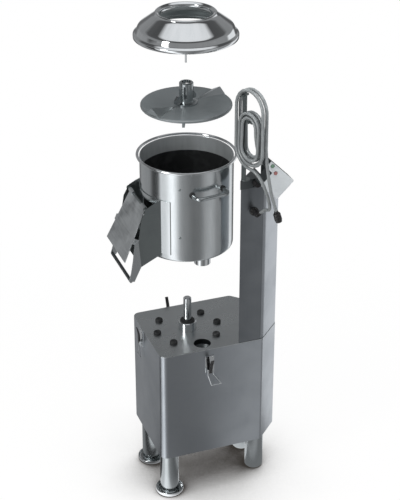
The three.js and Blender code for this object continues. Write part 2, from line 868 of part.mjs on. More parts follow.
// Bow handle standing off the drum's right front
function makeDrumHandle() {
  const reach = drumRadius + handleReach;
  const root = Math.sqrt(drumRadius * drumRadius - handleHalfLength * handleHalfLength);
  const path = [];
  for (const [across, along] of [
    [-handleHalfLength, root - handleCorner],
    [-handleHalfLength, (root + reach - handleCorner) / 2],
    ...arcPoints(-handleHalfLength + handleCorner, reach - handleCorner, handleCorner,
      Math.PI, Math.PI / 2, cornerSteps),
    [0, reach],
    ...arcPoints(handleHalfLength - handleCorner, reach - handleCorner, handleCorner,
      Math.PI / 2, 0, cornerSteps),
    [handleHalfLength, (root + reach - handleCorner) / 2],
    [handleHalfLength, root - handleCorner],
  ]) {
    path.push(new THREE.Vector3(
      along * Math.cos(handleAngle) - across * Math.sin(handleAngle),
      along * Math.sin(handleAngle) + across * Math.cos(handleAngle), handleLevel));
  }
  let handle = sweptTube(path, handleRadius, handleSides);
  for (const end of [0, path.length - 1]) {
    const next = end === 0 ? 1 : path.length - 2;
    const along = new THREE.Vector3().subVectors(path[next], path[end]).normalize();
    const start = path[end].clone().addScaledVector(along, handleCorner - handlePadThickness);
    const stop = path[end].clone().addScaledVector(along, handleCorner + handlePadThickness * 2);
    handle = handle.add(rodBetween(handlePadRadius, start, stop, pinSides));
  }
  handle = handle.subtract(rod(drumRadius + seatGap, 0, drumHeight, 0, 0, roundSides));
  addPiece('drum_handle', handle.translate([0, 0, drumBottom]), brushedSteel);
}

// Open-topped chute box with its flange on the drum and the hinge rod of the hatch
function makeChute() {
  const wall = sheetThickness;
  const side = [
    ...chuteOutline, [-chuteLipReach, chuteLipLevel], [-chuteRootReach, chuteRootLevel],
  ].reverse();
  let chute = null;
  for (const sign of [-1, 1]) {
    const y = sign * (chuteHalfWidth - wall / 2);
    let cheek = sideProfile(side, y - wall / 2, y + wall / 2);
    cheek = cheek.add(rodBetween(earRadius, new THREE.Vector3(-hingeReach, y - wall / 2, hingeLevel),
      new THREE.Vector3(-hingeReach, y + wall / 2, hingeLevel), pinSides));
    chute = chute ? chute.add(cheek) : cheek;
  }
  const ramp = sideProfile([[-chuteLipReach, chuteLipLevel], [-chuteRootReach, chuteRootLevel],
    [-chuteRootReach, chuteRootLevel + wall], [-chuteLipReach, chuteLipLevel + wall]],
  -chuteHalfWidth, chuteHalfWidth);
  chute = chute.add(ramp);
  chute = chute.add(rodBetween(hingeRodRadius, new THREE.Vector3(-hingeReach, -chuteHalfWidth, hingeLevel),
    new THREE.Vector3(-hingeReach, chuteHalfWidth, hingeLevel), pinSides));
  const near = drumRadius + seatGap;
  const half = chuteHalfWidth + flangeSideMargin;
  const flangeLow = windowBottom - flangeFootMargin;
  const flangeHigh = windowTop + flangeTopMargin;
  const flange = turned([[near, flangeLow], [near + flangeThickness, flangeLow],
    [near + flangeThickness, flangeHigh], [near, flangeHigh]], roundSides)
    .intersect(block([-drumRadius * 2, -half, 0], [-drumHoleRadius, half, drumHeight]))
    .subtract(block([-drumRadius * 2, -chuteHalfWidth + wall, windowBottom],
      [-drumHoleRadius, chuteHalfWidth - wall, windowTop]));
  const slope = (chuteRootLevel - chuteLipLevel) / (chuteLipReach - chuteRootReach);
  const rampMiddle = (reach) => chuteRootLevel - slope * (reach - chuteRootReach) + wall / 2;
  const hook = sideProfile([[-hookFar, hookBottom], [-hookNear, hookBottom],
    [-hookNear, rampMiddle(hookNear)], [-hookFar, rampMiddle(hookFar)]],
  latchLeftY - catchWidth / 2, latchLeftY + catchWidth / 2);
  chute = chute.add(hook).add(flange);
  chute = chute.subtract(rod(near, -drumHeight, drumHeight, 0, 0, roundSides));
  addPiece('chute_frame', chute.translate([0, 0, drumBottom]), brushedSteel);
}

// A point on the hatch door: how far down it is, and how far out from its middle plane
function doorPoint(down, out) {
  return [
    -hingeReach - down * Math.sin(doorRestAngle) - out * Math.cos(doorRestAngle),
    hingeLevel - down * Math.cos(doorRestAngle) + out * Math.sin(doorRestAngle),
  ];
}

const bailPivot = doorPoint(doorLength * bailPivotShare, -bailPivotInset);

function makeHatchDoor() {
  const half = doorThickness / 2;
  const plate = new THREE.ExtrudeGeometry(new THREE.Shape([
    new THREE.Vector2(-doorTopHalf, 0), new THREE.Vector2(doorTopHalf, 0),
    new THREE.Vector2(doorHalfWidth, doorLength), new THREE.Vector2(-doorHalfWidth, doorLength),
  ]), { depth: doorThickness, bevelEnabled: false });
  plate.translate(0, 0, -half);
  plate.applyMatrix4(new THREE.Matrix4().makeBasis(new THREE.Vector3(0, 1, 0),
    new THREE.Vector3(-Math.sin(doorRestAngle), 0, -Math.cos(doorRestAngle)),
    new THREE.Vector3(-Math.cos(doorRestAngle), 0, Math.sin(doorRestAngle))));
  plate.translate(-hingeReach, 0, hingeLevel);
  let door = solidFrom(plate);
  const hinge = (radius, low, high) => rodBetween(radius, new THREE.Vector3(-hingeReach, low, hingeLevel),
    new THREE.Vector3(-hingeReach, high, hingeLevel), pinSides);
  const tabTop = doorLength * bailPivotShare - doorTabHalf;
  const tabFoot = doorLength * bailPivotShare + doorTabHalf;
  const between = (reach, near, far) => (reach > 0 ? [near, far] : [-far, -near]);
  const tab = (low, high, depth) => sideProfile([doorPoint(tabFoot, -depth), doorPoint(tabTop, -depth),
    doorPoint(tabTop, half), doorPoint(tabFoot, half)], low, high);
  for (const sign of [-1, 1]) {
    door = door.add(tab(...between(sign, doorTabIn, doorHalfWidth), half))
      .add(tab(...between(sign, doorHalfWidth - sheetThickness, doorHalfWidth), doorTabDepth))
      .add(hinge(knuckleRadius, ...between(sign, doorTopHalf - knuckleLength, doorTopHalf)));
  }
  door = door.subtract(hinge(hingeRodRadius + knuckleClearance, -doorHalfWidth * 2, doorHalfWidth * 2));
  door = door.subtract(rodBetween(bailPinRadius + seatGap,
    new THREE.Vector3(bailPivot[0], -doorHalfWidth * 2, bailPivot[1]),
    new THREE.Vector3(bailPivot[0], doorHalfWidth * 2, bailPivot[1]), pinSides));
  addPiece('hatch_door', door.translate([0, 0, drumBottom]), brushedSteel);
}

function makeBail() {
  const inner = doorHalfWidth + bailSideGap;
  const outer = inner + bailArmThickness;
  const [pivotX, pivotZ] = bailPivot;
  let bail = rodBetween(bailBarRadius, new THREE.Vector3(-bailBarReach, -outer, bailBarLevel),
    new THREE.Vector3(-bailBarReach, outer, bailBarLevel), pinSides);
  for (const sign of [-1, 1]) {
    const low = sign > 0 ? inner : -outer;
    const high = low + bailArmThickness;
    bail = bail.add(sideProfile(bailArmOutline, low, high));
    const pinIn = sign * (doorHalfWidth - sheetThickness);
    bail = bail.add(rodBetween(bailPinRadius, new THREE.Vector3(pivotX, pinIn, pivotZ),
      new THREE.Vector3(pivotX, sign * (outer + bailPinHead), pivotZ), pinSides));
  }
  addPiece('hatch_bail', bail.translate([0, 0, drumBottom]), polishedSteel);
}

// The disc with two raised fins on top and two sweeper lugs under it
function makeDisc() {
  const edge = discEdge;
  let disc = turned([[discHoleRadius, 0], [discRadius - edge, 0], [discRadius, edge],
    [discRadius, discThickness - edge], [discRadius - edge, discThickness],
    [discHoleRadius, discThickness]], roundSides);
  for (const turn of [finAngle, finAngle + Math.PI]) {
    const from = discRadius - finLength;
    const wedge = new THREE.BufferGeometry();
    const low = discThickness / 2;
    const top = discThickness + finRise;
    const points = [
      [from, 0, discThickness + finToe], [discRadius - edge, -finHalfWidth, low],
      [discRadius - edge, finHalfWidth, low],
      [discRadius - edge * 2, -finPeakShift, top], [from, 0, low]];
    wedge.setAttribute('position', new THREE.BufferAttribute(new Float32Array(points.flat()), 3));
    wedge.setIndex([0, 1, 3, 0, 3, 2, 1, 2, 3, 4, 1, 0, 4, 0, 2, 4, 2, 1]);
    const fin = solidFrom(wedge).rotate([0, 0, turn / degree])
      .intersect(rod(discRadius, 0, top + cutOverrun, 0, 0, roundSides));
    disc = disc.add(fin);
  }
  for (const turn of [lugAngle, lugAngle + Math.PI]) {
    const lug = block([lugRadius - lugLength / 2, -lugThickness / 2, -lugDrop],
      [lugRadius + lugLength / 2, lugThickness / 2, edge]);
    disc = disc.add(lug.rotate([0, 0, turn / degree]));
  }
  addPiece('peeling_disc', disc.translate([0, 0, discUnder]), discMetal);

  const base = discUnder + discThickness;
  let hub = turned([[hubBore, 0], [hubFlangeRadius, 0], [hubFlangeRadius, hubFlangeThickness],
    [hubRadius, hubFlangeThickness + hubFillet], [hubRadius, hubHeight - hubChamfer],
    [hubRadius - hubChamfer, hubHeight], [hubBore, hubHeight]], tubeSides);
  const slot = block([-hubRadius * 2, -hubSlotWidth / 2, hubSlotBottom],
    [hubRadius * 2, hubSlotWidth / 2, hubHeight - hubSlotCover]);
  hub = hub.subtract(slot.rotate([0, 0, hubSlotTurn])).subtract(slot.rotate([0, 0, hubSlotTurn + 90]));
  const wing = sideProfile([[-hubWingReach, hubWingBottom], [-hubWingRoot, hubWingBottom],
    [-hubWingRoot, hubWingTop], [-hubWingReach + hubWingSlope, hubWingTop],
    [-hubWingReach, (hubWingBottom + hubWingTop) / 2]], -hubWingThickness / 2, hubWingThickness / 2);
  hub = hub.add(wing.rotate([0, 0, hubWingTurn]))
    .add(wing.scale([hubShortWingShare, 1, 1]).rotate([0, 0, hubWingTurn + 180]));
  addPiece('disc_hub', hub.translate([0, 0, base]), polishedSteel);
}

function makeLid() {
  const wall = sheetThickness;
  const outside = [[lidRadius, 0], [lidRadius, lidBrim], [lidRadius - lidBrimSlope, lidBrim + lidBrimStep],
    [lidRadius - lidStepInset, lidStepLevel], [lidRadius - lidShoulderInset, lidShoulderLevel],
    [lidRingRadius + lidRingRound, lidConeLevel], [lidRingRadius, lidRingFoot],
    [lidRingRadius - lidRingRound, lidHeight], [lidRingRadius - lidRingLip, lidHeight],
    [feedHoleRadius, lidThroatTop], [feedHoleRadius, lidThroatBottom]];
  const inside = [[feedHoleRadius + wall, lidThroatBottom],
    [feedHoleRadius + wall, lidThroatTop - wall / 2],
    [lidRingRadius - lidRingLip + wall / 2, lidHeight - wall],
    [lidRingRadius - lidRingRound, lidHeight - wall],
    [lidRingRadius - wall, lidRingFoot - wall / 2], [lidRingRadius + lidRingRound, lidConeLevel - wall],
    [lidRadius - lidShoulderInset, lidShoulderLevel - wall],
    [lidRadius - lidStepInset - wall, lidStepLevel - wall / 2],
    [lidRadius - lidBrimSlope - wall, lidBrim + lidBrimStep - wall / 2],
    [lidRadius - wall, lidBrim - wall / 2], [lidRadius - wall, 0]];
  const placedLid = turned([...outside, ...inside], roundSides).translate([0, 0, lidUnder]);
  addPiece('lid', placedLid, polishedSteel);

  const x = pegCircleRadius * Math.cos(pegAngle);
  const y = pegCircleRadius * Math.sin(pegAngle);
  const roof = lidUnder + pegRoof;
  const peg = rod(pegRadius, lidUnder - pegLength, roof, x, y, pinSides)
    .add(rod(pegRadius * 2, roof - pegNutBottom, roof - pegNutTop, x, y, pinSides)).subtract(placedLid);
  addPiece('lid_peg', peg, brushedSteel);
}

// One toggle latch, made for the front face and then turned and moved to its own face
function placeLatch(solid, face) {
  if (face === 'front') return solid.translate([latchX, -cabinetDepth / 2, 0]);
  if (face === 'left') return solid.rotate([0, 0, -90]).translate([-cabinetLeft, latchLeftY, 0]);
  return solid.rotate([0, 0, 180]).translate([latchBackX, cabinetDepth / 2, 0]);
}

function makeLatch(face, { topDrop, pivotDrop, leverAngle, loopLean }) {
  const baseTop = plateTop - topDrop;
  const baseBottom = baseTop - latchBaseHeight;
  const pivotY = -latchPivotDepth;
  const pivotZ = plateTop - pivotDrop;
  const ear = latchEarGap / 2;
  let base = block([-latchBaseWidth / 2, -latchBaseThickness, baseBottom],
    [latchBaseWidth / 2, 0, baseTop]);
  for (const sign of [-1, 1]) {
    const low = sign > 0 ? ear : -ear - latchEarThickness;
    base = base.add(block([low, -latchEarDepth, pivotZ - latchEarHalf],
      [low + latchEarThickness, -latchBaseThickness / 2, pivotZ + latchEarHalf]));
    for (const screwLevel of [baseTop - latchScrewInset, baseBottom + latchScrewInset]) {
      const x = sign * latchScrewOffset;
      base = base.add(rodBetween(latchScrewRadius,
        new THREE.Vector3(x, -latchBaseThickness / 2, screwLevel),
        new THREE.Vector3(x, -latchBaseThickness - latchScrewHead, screwLevel), pinSides));
    }
  }
  const pinEnd = ear + latchPinOverhang;
  base = base.add(rodBetween(latchPinRadius, new THREE.Vector3(-pinEnd, pivotY, pivotZ),
    new THREE.Vector3(pinEnd, pivotY, pivotZ), pinSides));
  addPiece(`latch_base_${face}`, placeLatch(base, face), brushedSteel);

  const along = (distance, out) => [
    pivotY - distance * Math.sin(leverAngle) - out * Math.cos(leverAngle),
    pivotZ + distance * Math.cos(leverAngle) - out * Math.sin(leverAngle)];
  const half = leverThickness / 2;
  const knee = leverLength * leverKneeShare;
  const profile = [along(-leverTail, half), along(knee, half), along(leverLength, leverTipFace),
    along(leverLength, leverTipBack), along(knee, -half), along(-leverTail, -half)];
  const shape = new THREE.Shape(profile.map(([y, z]) => new THREE.Vector2(y, z)));
  const leverShape = new THREE.ExtrudeGeometry(shape, { depth: leverWidth, bevelEnabled: false });
  leverShape.applyMatrix4(new THREE.Matrix4().makeBasis(
    new THREE.Vector3(0, 1, 0), new THREE.Vector3(0, 0, 1), new THREE.Vector3(1, 0, 0)));
  leverShape.translate(-leverWidth / 2, 0, 0);
  const [loopY, loopZ] = along(loopPivotRise, 0);
  const lever = solidFrom(leverShape)
    .subtract(rodBetween(latchPinRadius + seatGap, new THREE.Vector3(-leverWidth, pivotY, pivotZ),
      new THREE.Vector3(leverWidth, pivotY, pivotZ), pinSides))
    .subtract(rodBetween(loopWireRadius + seatGap, new THREE.Vector3(-leverWidth, loopY, loopZ),
      new THREE.Vector3(leverWidth, loopY, loopZ), pinSides));
  addPiece(`latch_lever_${face}`, placeLatch(lever, face), blackRubber);

  const wire = [[-loopTopHalf, 0], [-loopTopHalf, -loopNeck], [loopLean - loopFootHalf, -loopLength],
    [loopLean + loopFootHalf, -loopLength], [loopTopHalf, -loopNeck], [loopTopHalf, 0]]
    .map(([x, z]) => new THREE.Vector3(x, loopY, loopZ + z));
  let loop = null;
  for (let i = 0; i < wire.length; i += 1) {
    const [start, end] = [wire[i], wire[(i + 1) % wire.length]];
    const over = new THREE.Vector3().subVectors(end, start).setLength(loopWireRadius * loopLapShare);
    const side = rodBetween(loopWireRadius, start.clone().sub(over), end.clone().add(over), 8);
    loop = loop ? loop.add(side) : side;
  }
  addPiece(`latch_loop_${face}`, placeLatch(loop, face), polishedSteel);
}

// Plan of the slab-shaped column: front face, chamfer face, end and inner face
function columnOutline(inset) {
  const front = -cabinetDepth / 2 + columnInset + inset;
  const line = cabinetRight - cornerChamfer + cabinetDepth / 2 - (columnInset + inset) * Math.SQRT2;
  const back = -(cabinetDepth / 2 - cornerChamfer) - inset;
  const left = columnFrontX + inset * (1 + Math.SQRT2);
  const corner = line + front;
  const end = line + back;
  const bendRadius = columnBend / Math.tan(Math.PI / 8);
  return [
    [left, front],
    ...arcPoints(corner - columnBend, front + bendRadius, bendRadius,
      -Math.PI / 2, -Math.PI / 4, bendSteps),
    [end, back], [left + (back - front), back]];
}

function makeColumn() {
  const top = plateTop + columnHeight;
  const column = prism(columnOutline(0), plateTop, top)
    .subtract(prism(columnOutline(columnWallThickness), plateTop - cutOverrun, top - columnWallThickness));
  addPiece('column', column, brushedSteel);

  const front = -cabinetDepth / 2 + columnInset - headOverhang;
  const left = columnFrontX - headOverhang;
  const slope = headRight - left;
  const head = prism([[left, front], [headRight, front], [headRight, front + slope]], top, top + headHeight)
    .subtract(block(
      [headRight - headSlotInset - headSlotLength, front - cutOverrun, top + headSlotBottom],
      [headRight - headSlotInset, front + headSlotDepth, top + headSlotBottom + headSlotHeight]));
  addPiece('column_head', head, brushedSteel);

  const knobZ = top + headHeight - knobDrop;
  const knobFace = front - knobGap - knobDepth;
  const knobStart = new THREE.Vector3(knobX, front - knobGap, knobZ);
  const knobEnd = new THREE.Vector3(knobX, knobFace, knobZ);
  let knob = rodBetween(knobRadius, knobStart, knobEnd, tubeSides, knobRadius * knobTaperShare);
  knob = knob.subtract(block([knobX - knobMarkWidth / 2, knobFace - cutOverrun, knobZ + knobMarkStart],
    [knobX + knobMarkWidth / 2, knobFace + knobMarkDepth, knobZ + knobRadius]));
  addPiece('timer_knob', knob, blackRubber);
}

// The control box lies diamond-wise: one edge direction falls to the right, the other rises
function boxPoint(along, across) {
  const diagonal = Math.SQRT1_2;
  return [boxCentreX + (along + across) * diagonal, boxCentreZ + (across - along) * diagonal];
}

const buttonPlaces = {
  start_button: boxPoint(-boxHalf - shoulderReach * startShoulderShare, boxHalf * startAcrossShare),
  stop_button: boxPoint(-boxHalf * stopAlongShare, boxHalf * stopAcrossShare),
};

function makeControlBox() {
  const shoulderLow = boxHalf * shoulderBottomShare;
  const trim = boxCorner * boxTrimShare;
  const outline = [
    boxPoint(-boxHalf + trim, -boxHalf), boxPoint(boxHalf - trim, -boxHalf),
    boxPoint(boxHalf, -boxHalf + trim),
    boxPoint(boxHalf, boxHalf - trim), boxPoint(boxHalf - trim, boxHalf),
    boxPoint(-boxHalf - shoulderReach, boxHalf), boxPoint(-boxHalf - shoulderReach, shoulderLow),
    boxPoint(-boxHalf, shoulderLow), boxPoint(-boxHalf, -boxHalf + trim)].reverse();
  const pocket = boxHalf - boxWall;
  let box = sideProfile(outline, boxFrontY, boxBackY)
    .subtract(sideProfile([boxPoint(-pocket, -pocket), boxPoint(pocket, -pocket),
      boxPoint(pocket, pocket), boxPoint(-pocket, pocket)].reverse(),
    boxFrontY + boxFrontDepth, boxBackY - boxWall))
    .subtract(rodBetween(glandRadius,
      new THREE.Vector3(boxCentreX, (boxFrontY + boxBackY) / 2, boxCentreZ),
      new THREE.Vector3(boxCentreX - boxHalf, (boxFrontY + boxBackY) / 2, boxCentreZ - boxHalf), pinSides));
  for (const [x, z] of Object.values(buttonPlaces)) {
    box = box.subtract(rodBetween(buttonRadius + seatGap * 2,
      new THREE.Vector3(x, boxFrontY - cutOverrun, z),
      new THREE.Vector3(x, boxFrontY + buttonPocket, z), pinSides));
  }
  addPiece('control_box', box, paleSteel);
  const colours = { start_button: greenPlastic, stop_button: redPlastic };
  for (const [name, [x, z]] of Object.entries(buttonPlaces)) {
    const button = rodBetween(buttonRadius, new THREE.Vector3(x, boxFrontY + buttonRoot, z),
      new THREE.Vector3(x, boxFrontY - buttonRise, z), pinSides);
    addPiece(name, button, colours[name]);
  }

  const top = plateTop + columnHeight;
  const postHalf = postWidth / 2;
  const post = joined(
    block([boxCentreX - postHalf, postFaceY, top], [boxCentreX + postHalf, postBaseY, top + postThickness]),
    block([boxCentreX - postHalf, postFaceY, top],
      [boxCentreX + postHalf, postFaceY + postThickness, boxCentreZ + postTop]),
    rodBetween(pivotRadius, new THREE.Vector3(boxCentreX, postFaceY + postThickness / 2, boxCentreZ),
      new THREE.Vector3(boxCentreX, boxBackY + seatGap, boxCentreZ), pinSides));
  addPiece('box_post', post, brushedSteel);
}

// The hose: one run from the loose connector up, round the coil and down to the inlet
const coilAlong = new THREE.Vector3(Math.cos(coilTurn), Math.sin(coilTurn), 0);
const coilAcross = new THREE.Vector3(-Math.sin(coilTurn), Math.cos(coilTurn), 0);
const coilCentre = new THREE.Vector3(coilX, coilY, coilZ);

function coilPoint(along, up, across) {
  return coilCentre.clone().addScaledVector(coilAlong, along).addScaledVector(coilAcross, across)
    .add(new THREE.Vector3(0, 0, up));
}

// A loop has round ends and straight sides: a share of one turn, counted from its lowest point
function loopPoint(share, radius, straight) {
  const arc = (Math.PI / 2) * radius;
  const total = 4 * arc + 4 * straight;
  const walked = (((share % 1) + 1) % 1) * total;
  const quarter = arc + 2 * straight;
  if (walked < arc) {
    const angle = walked / radius;
    return [radius * Math.sin(angle), -straight - radius * Math.cos(angle)];
  }
  if (walked < quarter) return [radius, -straight + walked - arc];
  if (walked < quarter + 2 * arc) {
    const angle = (walked - quarter) / radius;
    return [radius * Math.cos(angle), straight + radius * Math.sin(angle)];
  }
  if (walked < 2 * quarter + arc) return [-radius, straight - (walked - quarter - 2 * arc)];
  const angle = (walked - 2 * quarter - arc) / radius;
  return [-radius * Math.cos(angle), -straight - radius * Math.sin(angle)];
}

function smoothStep(value) {
  const held = Math.min(Math.max(value, 0), 1);
  return held * held * (3 - 2 * held);
}

// Radius, half straight, drop and side of the coil after some turns
function coilState(turns) {
  const leaving = smoothStep((turns - ringStart) / moveShare + 0.5);
  const returning = smoothStep((turns - ringEnd) / moveShare);
  const outerShare = 1 - leaving + returning;
  const span = turns < ringReverse ? ringReverse - ringStart : ringEnd - ringReverse;
  const inward = Math.min(Math.abs(turns - ringReverse) / span, 1);
  const ringRadius = ringInnerRadius + (ringOuterRadius - ringInnerRadius) * inward;
  return {
    radius: ringRadius + (outerLoopRadius - ringRadius) * outerShare,
    straight: ringStraight + (outerLoopStraight - ringStraight) * outerShare,
    drop: ringDrop * (1 - outerShare),
    side: layerOffset * (1 - 2 * smoothStep((turns - ringReverse) / climbShare + 0.5)),
  };
}

function coilCentres(steps) {
  const centres = Array.from({ length: steps + 1 }, (_, i) => {
    const turns = coilStart + ((coilEnd - coilStart) * i) / steps;
    const { radius, straight, drop, side } = coilState(turns);
    const [along, up] = loopPoint(turns, radius, straight);
    return coilPoint(along, up - drop, side);
  });
  centres.push(centres[steps].clone().addScaledVector(coilAlong, hoseDiameter));
  return centres;
}

const inletStart = new THREE.Vector3(inletX, -cabinetDepth / 2 + columnInset - inletReach, inletZ);
const inletTip = inletStart.clone().addScaledVector(inletBarbLean, inletBarbLength);
const freeTail = [
  [0, 0, 0], [0, 0, -14], [3, -3, -68], [9, -7, -123], [20, -11, -191], [31, -15, -237], [40, -18, -272]];
const inletTail = [
  [0, 0, 0], [3.1, -9.5, 0], [7.5, -22, -3], [16, -37, -15], [27, -47, -37], [39, -53, -69],
  [50, -55, -101], [58, -53, -131], [63, -47, -153], [64, -36, -168], [61, -18, -176]];
const inletStraightShares = [2, 1];

function makeHose() {
  const steps = Math.round((coilEnd - coilStart) * stepsPerTurn);
  const centres = coilCentres(steps);
  const radius = hoseDiameter / 2;
  addPiece('hose_coil', sweptTube(centres, radius, coilSides), greyHose);

  const startTangent = new THREE.Vector3().subVectors(centres[0], centres[1]).normalize();
  const freeStart = centres[0].clone().addScaledVector(startTangent, seatGap);
  const free = freeTail.map(([x, y, z]) => freeStart.clone().add(new THREE.Vector3(x, y, z)));
  addPiece('hose_free_end', smoothTube(free, radius, tailSides, freeSteps), greyHose);

  const inletFrom = centres[steps + 1].clone().addScaledVector(coilAlong, seatGap);
  const inlet = inletTail.map(([x, y, z]) => inletFrom.clone().add(new THREE.Vector3(x, y, z)));
  for (const share of inletStraightShares) {
    inlet.push(inletTip.clone().addScaledVector(inletBarbLean, hoseDiameter * share));
  }
  inlet.push(inletTip.clone().addScaledVector(inletBarbLean, seatGap));
  addPiece('hose_inlet_end', smoothTube(inlet, radius, tailSides, inletSteps), greyHose);

  const tip = free[free.length - 1];
  const lean = new THREE.Vector3().subVectors(tip, free[free.length - 2]).normalize();
  const neckStart = tip.clone().addScaledVector(lean, seatGap);
  const neckEnd = neckStart.clone().addScaledVector(lean, connectorNeck);
  const nutEnd = neckEnd.clone().addScaledVector(lean, connectorLength);
  const sleeveEnd = neckEnd.clone().addScaledVector(lean, connectorLap);
  const connector = joined(rodBetween(radius + connectorSleeve, neckStart, sleeveEnd, pinSides),
    rodBetween(connectorRadius, neckEnd, nutEnd, pinSides));
  addPiece('hose_connector', connector, blackRubber);
}

function makeHanger() {
  const base = plateTop + columnHeight + headHeight - coilZ;
  const top = outerLoopStraight + outerLoopRadius - hoseDiameter / 2 - hangerTopClearance;
  const ringTop = ringStraight + ringInnerRadius - hoseDiameter / 2 - ringDrop;
  const pegArc = outerLoopRadius - hoseDiameter / 2 - hangerPegRadius - hangerTopClearance;
  const pegLevel = outerLoopStraight + Math.sqrt(pegArc * pegArc - hangerOffset * hangerOffset);
  const half = hangerWidth / 2;
  const slab = (low, high, bottom, roof) => {
    const geometry = new THREE.BoxGeometry(high - low, hangerThickness, roof - bottom);
    geometry.translate((low + high) / 2, 0, (bottom + roof) / 2);
    geometry.rotateZ(coilTurn);
    geometry.translate(coilX, coilY, coilZ);
    return solidFrom(geometry);
  };
  const bar = (level, at) => rodBetween(hangerPegRadius, coilPoint(at, level, -hangerPegHalf),
    coilPoint(at, level, hangerPegHalf), pinSides);
  const foot = coilPoint(hangerOffset, 0, 0);
  const hanger = joined(
    slab(hangerOffset - half, hangerOffset + half, base, top),
    slab(hangerOffset, hangerArmOverlap, ringTop - hangerPegRadius * 3, ringTop),
    bar(ringTop - hangerPegRadius, 0),
    bar(pegLevel, hangerOffset),
    rod(hangerFootRadius, coilZ + base, coilZ + base + hangerFootThickness, foot.x + hangerFootShiftX,
      foot.y + hangerFootShiftY, tubeSides));
  addPiece('hose_hanger', hanger, brushedSteel);
}

function makeInlet() {
  const face = -cabinetDepth / 2 + columnInset;
  const at = (y) => new THREE.Vector3(inletX, y, inletZ);
  const inlet = joined(
    rodBetween(inletFlangeRadius, at(face), at(face - inletFlangeThickness), pinSides),
    rodBetween(inletBodyRadius, at(face - inletFlangeThickness / 2),
      at(face - inletReach - inletBodyRadius / 2), pinSides),
    rodBetween(inletBodyRadius, inletStart.clone().addScaledVector(inletBarbLean, -inletBodyRadius / 2),
      inletStart.clone().addScaledVector(inletBarbLean, inletBarbLength / 2), pinSides),
    rodBetween(inletBarbRadius, inletStart, inletTip, pinSides));
  addPiece('inlet_elbow', inlet, blackRubber);
}

makeCabinet();
makeServicePanel();
makeLegs();
makePads();
makeShaftGroup();
makeDrive();
makeDrain();
makeDrum();
makeDrumHandle();
makeChute();
makeHatchDoor();
makeBail();
makeDisc();
makeLid();
makeLatch('front', frontLatch);
makeLatch('left', leftLatch);
makeLatch('back', backLatch);
makeColumn();
makeControlBox();
makeHose();
makeHanger();
makeInlet();

// The origin is the middle of the floor area that the machine covers, without its hose
const hoseNames = ['hose_coil', 'hose_free_end', 'hose_inlet_end', 'hose_connector'];
const bounds = new THREE.Box3();
for (const piece of machine.children) {
  if (!hoseNames.includes(piece.name)) bounds.expandByObject(piece);
}
const middle = bounds.getCenter(new THREE.Vector3());
machine.position.set(-middle.x, -middle.y, -bounds.min.z);

export default machine;
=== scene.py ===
# %% [markdown]
# # A floor-standing potato peeler, lifted apart along its shaft
# The machine is a folded steel cabinet on four tube legs, with a drum, a peeling disc and a lid
# that lift off the shaft, and a slab-shaped column with the controls and a coiled water hose.
# The CAD frame gives every piece its place. This lesson dresses it with rounder sheet metal,
# real edges and procedural finishes, one piece at a time.

# %% Load the frame
import math

import bmesh
import bpy
from mathutils import Matrix, Vector


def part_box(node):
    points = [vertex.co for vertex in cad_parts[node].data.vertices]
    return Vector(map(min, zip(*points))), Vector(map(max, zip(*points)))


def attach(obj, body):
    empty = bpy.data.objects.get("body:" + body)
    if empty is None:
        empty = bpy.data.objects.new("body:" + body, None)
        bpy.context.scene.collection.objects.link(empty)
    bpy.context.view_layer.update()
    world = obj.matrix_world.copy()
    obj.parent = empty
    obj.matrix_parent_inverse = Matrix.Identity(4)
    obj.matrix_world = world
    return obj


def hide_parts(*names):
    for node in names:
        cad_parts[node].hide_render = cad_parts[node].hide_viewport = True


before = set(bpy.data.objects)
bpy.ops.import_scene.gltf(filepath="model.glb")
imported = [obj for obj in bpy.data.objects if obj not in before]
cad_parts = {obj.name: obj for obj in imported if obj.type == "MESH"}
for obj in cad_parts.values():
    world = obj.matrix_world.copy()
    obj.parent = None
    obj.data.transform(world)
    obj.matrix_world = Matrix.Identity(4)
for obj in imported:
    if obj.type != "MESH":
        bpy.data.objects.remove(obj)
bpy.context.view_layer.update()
scene = bpy.context.scene

# %% [markdown]
# ## One set of measures
# All sizes are written in millimetres from the shaft's axis and the floor, as on a workshop
# drawing, and `at` turns them into the frame's metres. Reading the axis from the shaft's own box
# means the lesson still fits if the frame is packed with another origin.

# %% The shaft's axis and the unit
MM = 0.001
shaft_low, shaft_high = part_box("drive_shaft")
AXIS = Vector(((shaft_low.x + shaft_high.x) / 2, (shaft_low.y + shaft_high.y) / 2, 0))


def at(x, y, z):
    """A point of the workshop drawing, in millimetres from the shaft's foot, in the frame."""
    return AXIS + Vector((x, y, z)) * MM


PLATE_TOP = 730
LINING_START = 20
DRUM_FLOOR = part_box("drum_lining")[0].z / MM - LINING_START
LID_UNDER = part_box("lid")[0].z / MM
print("shaft axis", tuple(round(v, 4) for v in AXIS), "drum floor", round(DRUM_FLOOR, 1), "mm")

# %% [markdown]
# ## Camera
# The photograph looks down at about 28 degrees from the left front, from far away with a long
# lens. The place was fitted so that the cabinet's corners, the drum's rim and the column's top
# fall where the photograph has them.

# %% Camera
CAMERA_PLACE = (-1722.4, -4825.1, 3862.0)
CAMERA_TURN = (61.7, 0.0, -20.24)
CAMERA_LENS = 101.9
FILM_WIDTH = 36
SIGHT = 100
camera = bpy.data.objects.new("camera", bpy.data.cameras.new("camera"))
scene.collection.objects.link(camera)
scene.camera = camera
camera.location = at(*CAMERA_PLACE)
camera.rotation_euler = [math.radians(a) for a in CAMERA_TURN]
camera.data.lens = CAMERA_LENS
camera.data.sensor_width = FILM_WIDTH
camera.data.clip_end = SIGHT
print("camera at", tuple(round(v, 3) for v in camera.location))

# %% [markdown]
# ## Floor, world and lamps
# The background is white, as in the photograph, and only the camera sees it so. Steel shows its
# surroundings, so the room that mirror rays see has bands by compass direction: a bright screen
# at the left front, a grey front, a pale strip at the right and dark corners. More lamps could do
# that too, but they would bleach the pieces. One node group makes the bands for floor and world.

# %% Materials, nodes and blends


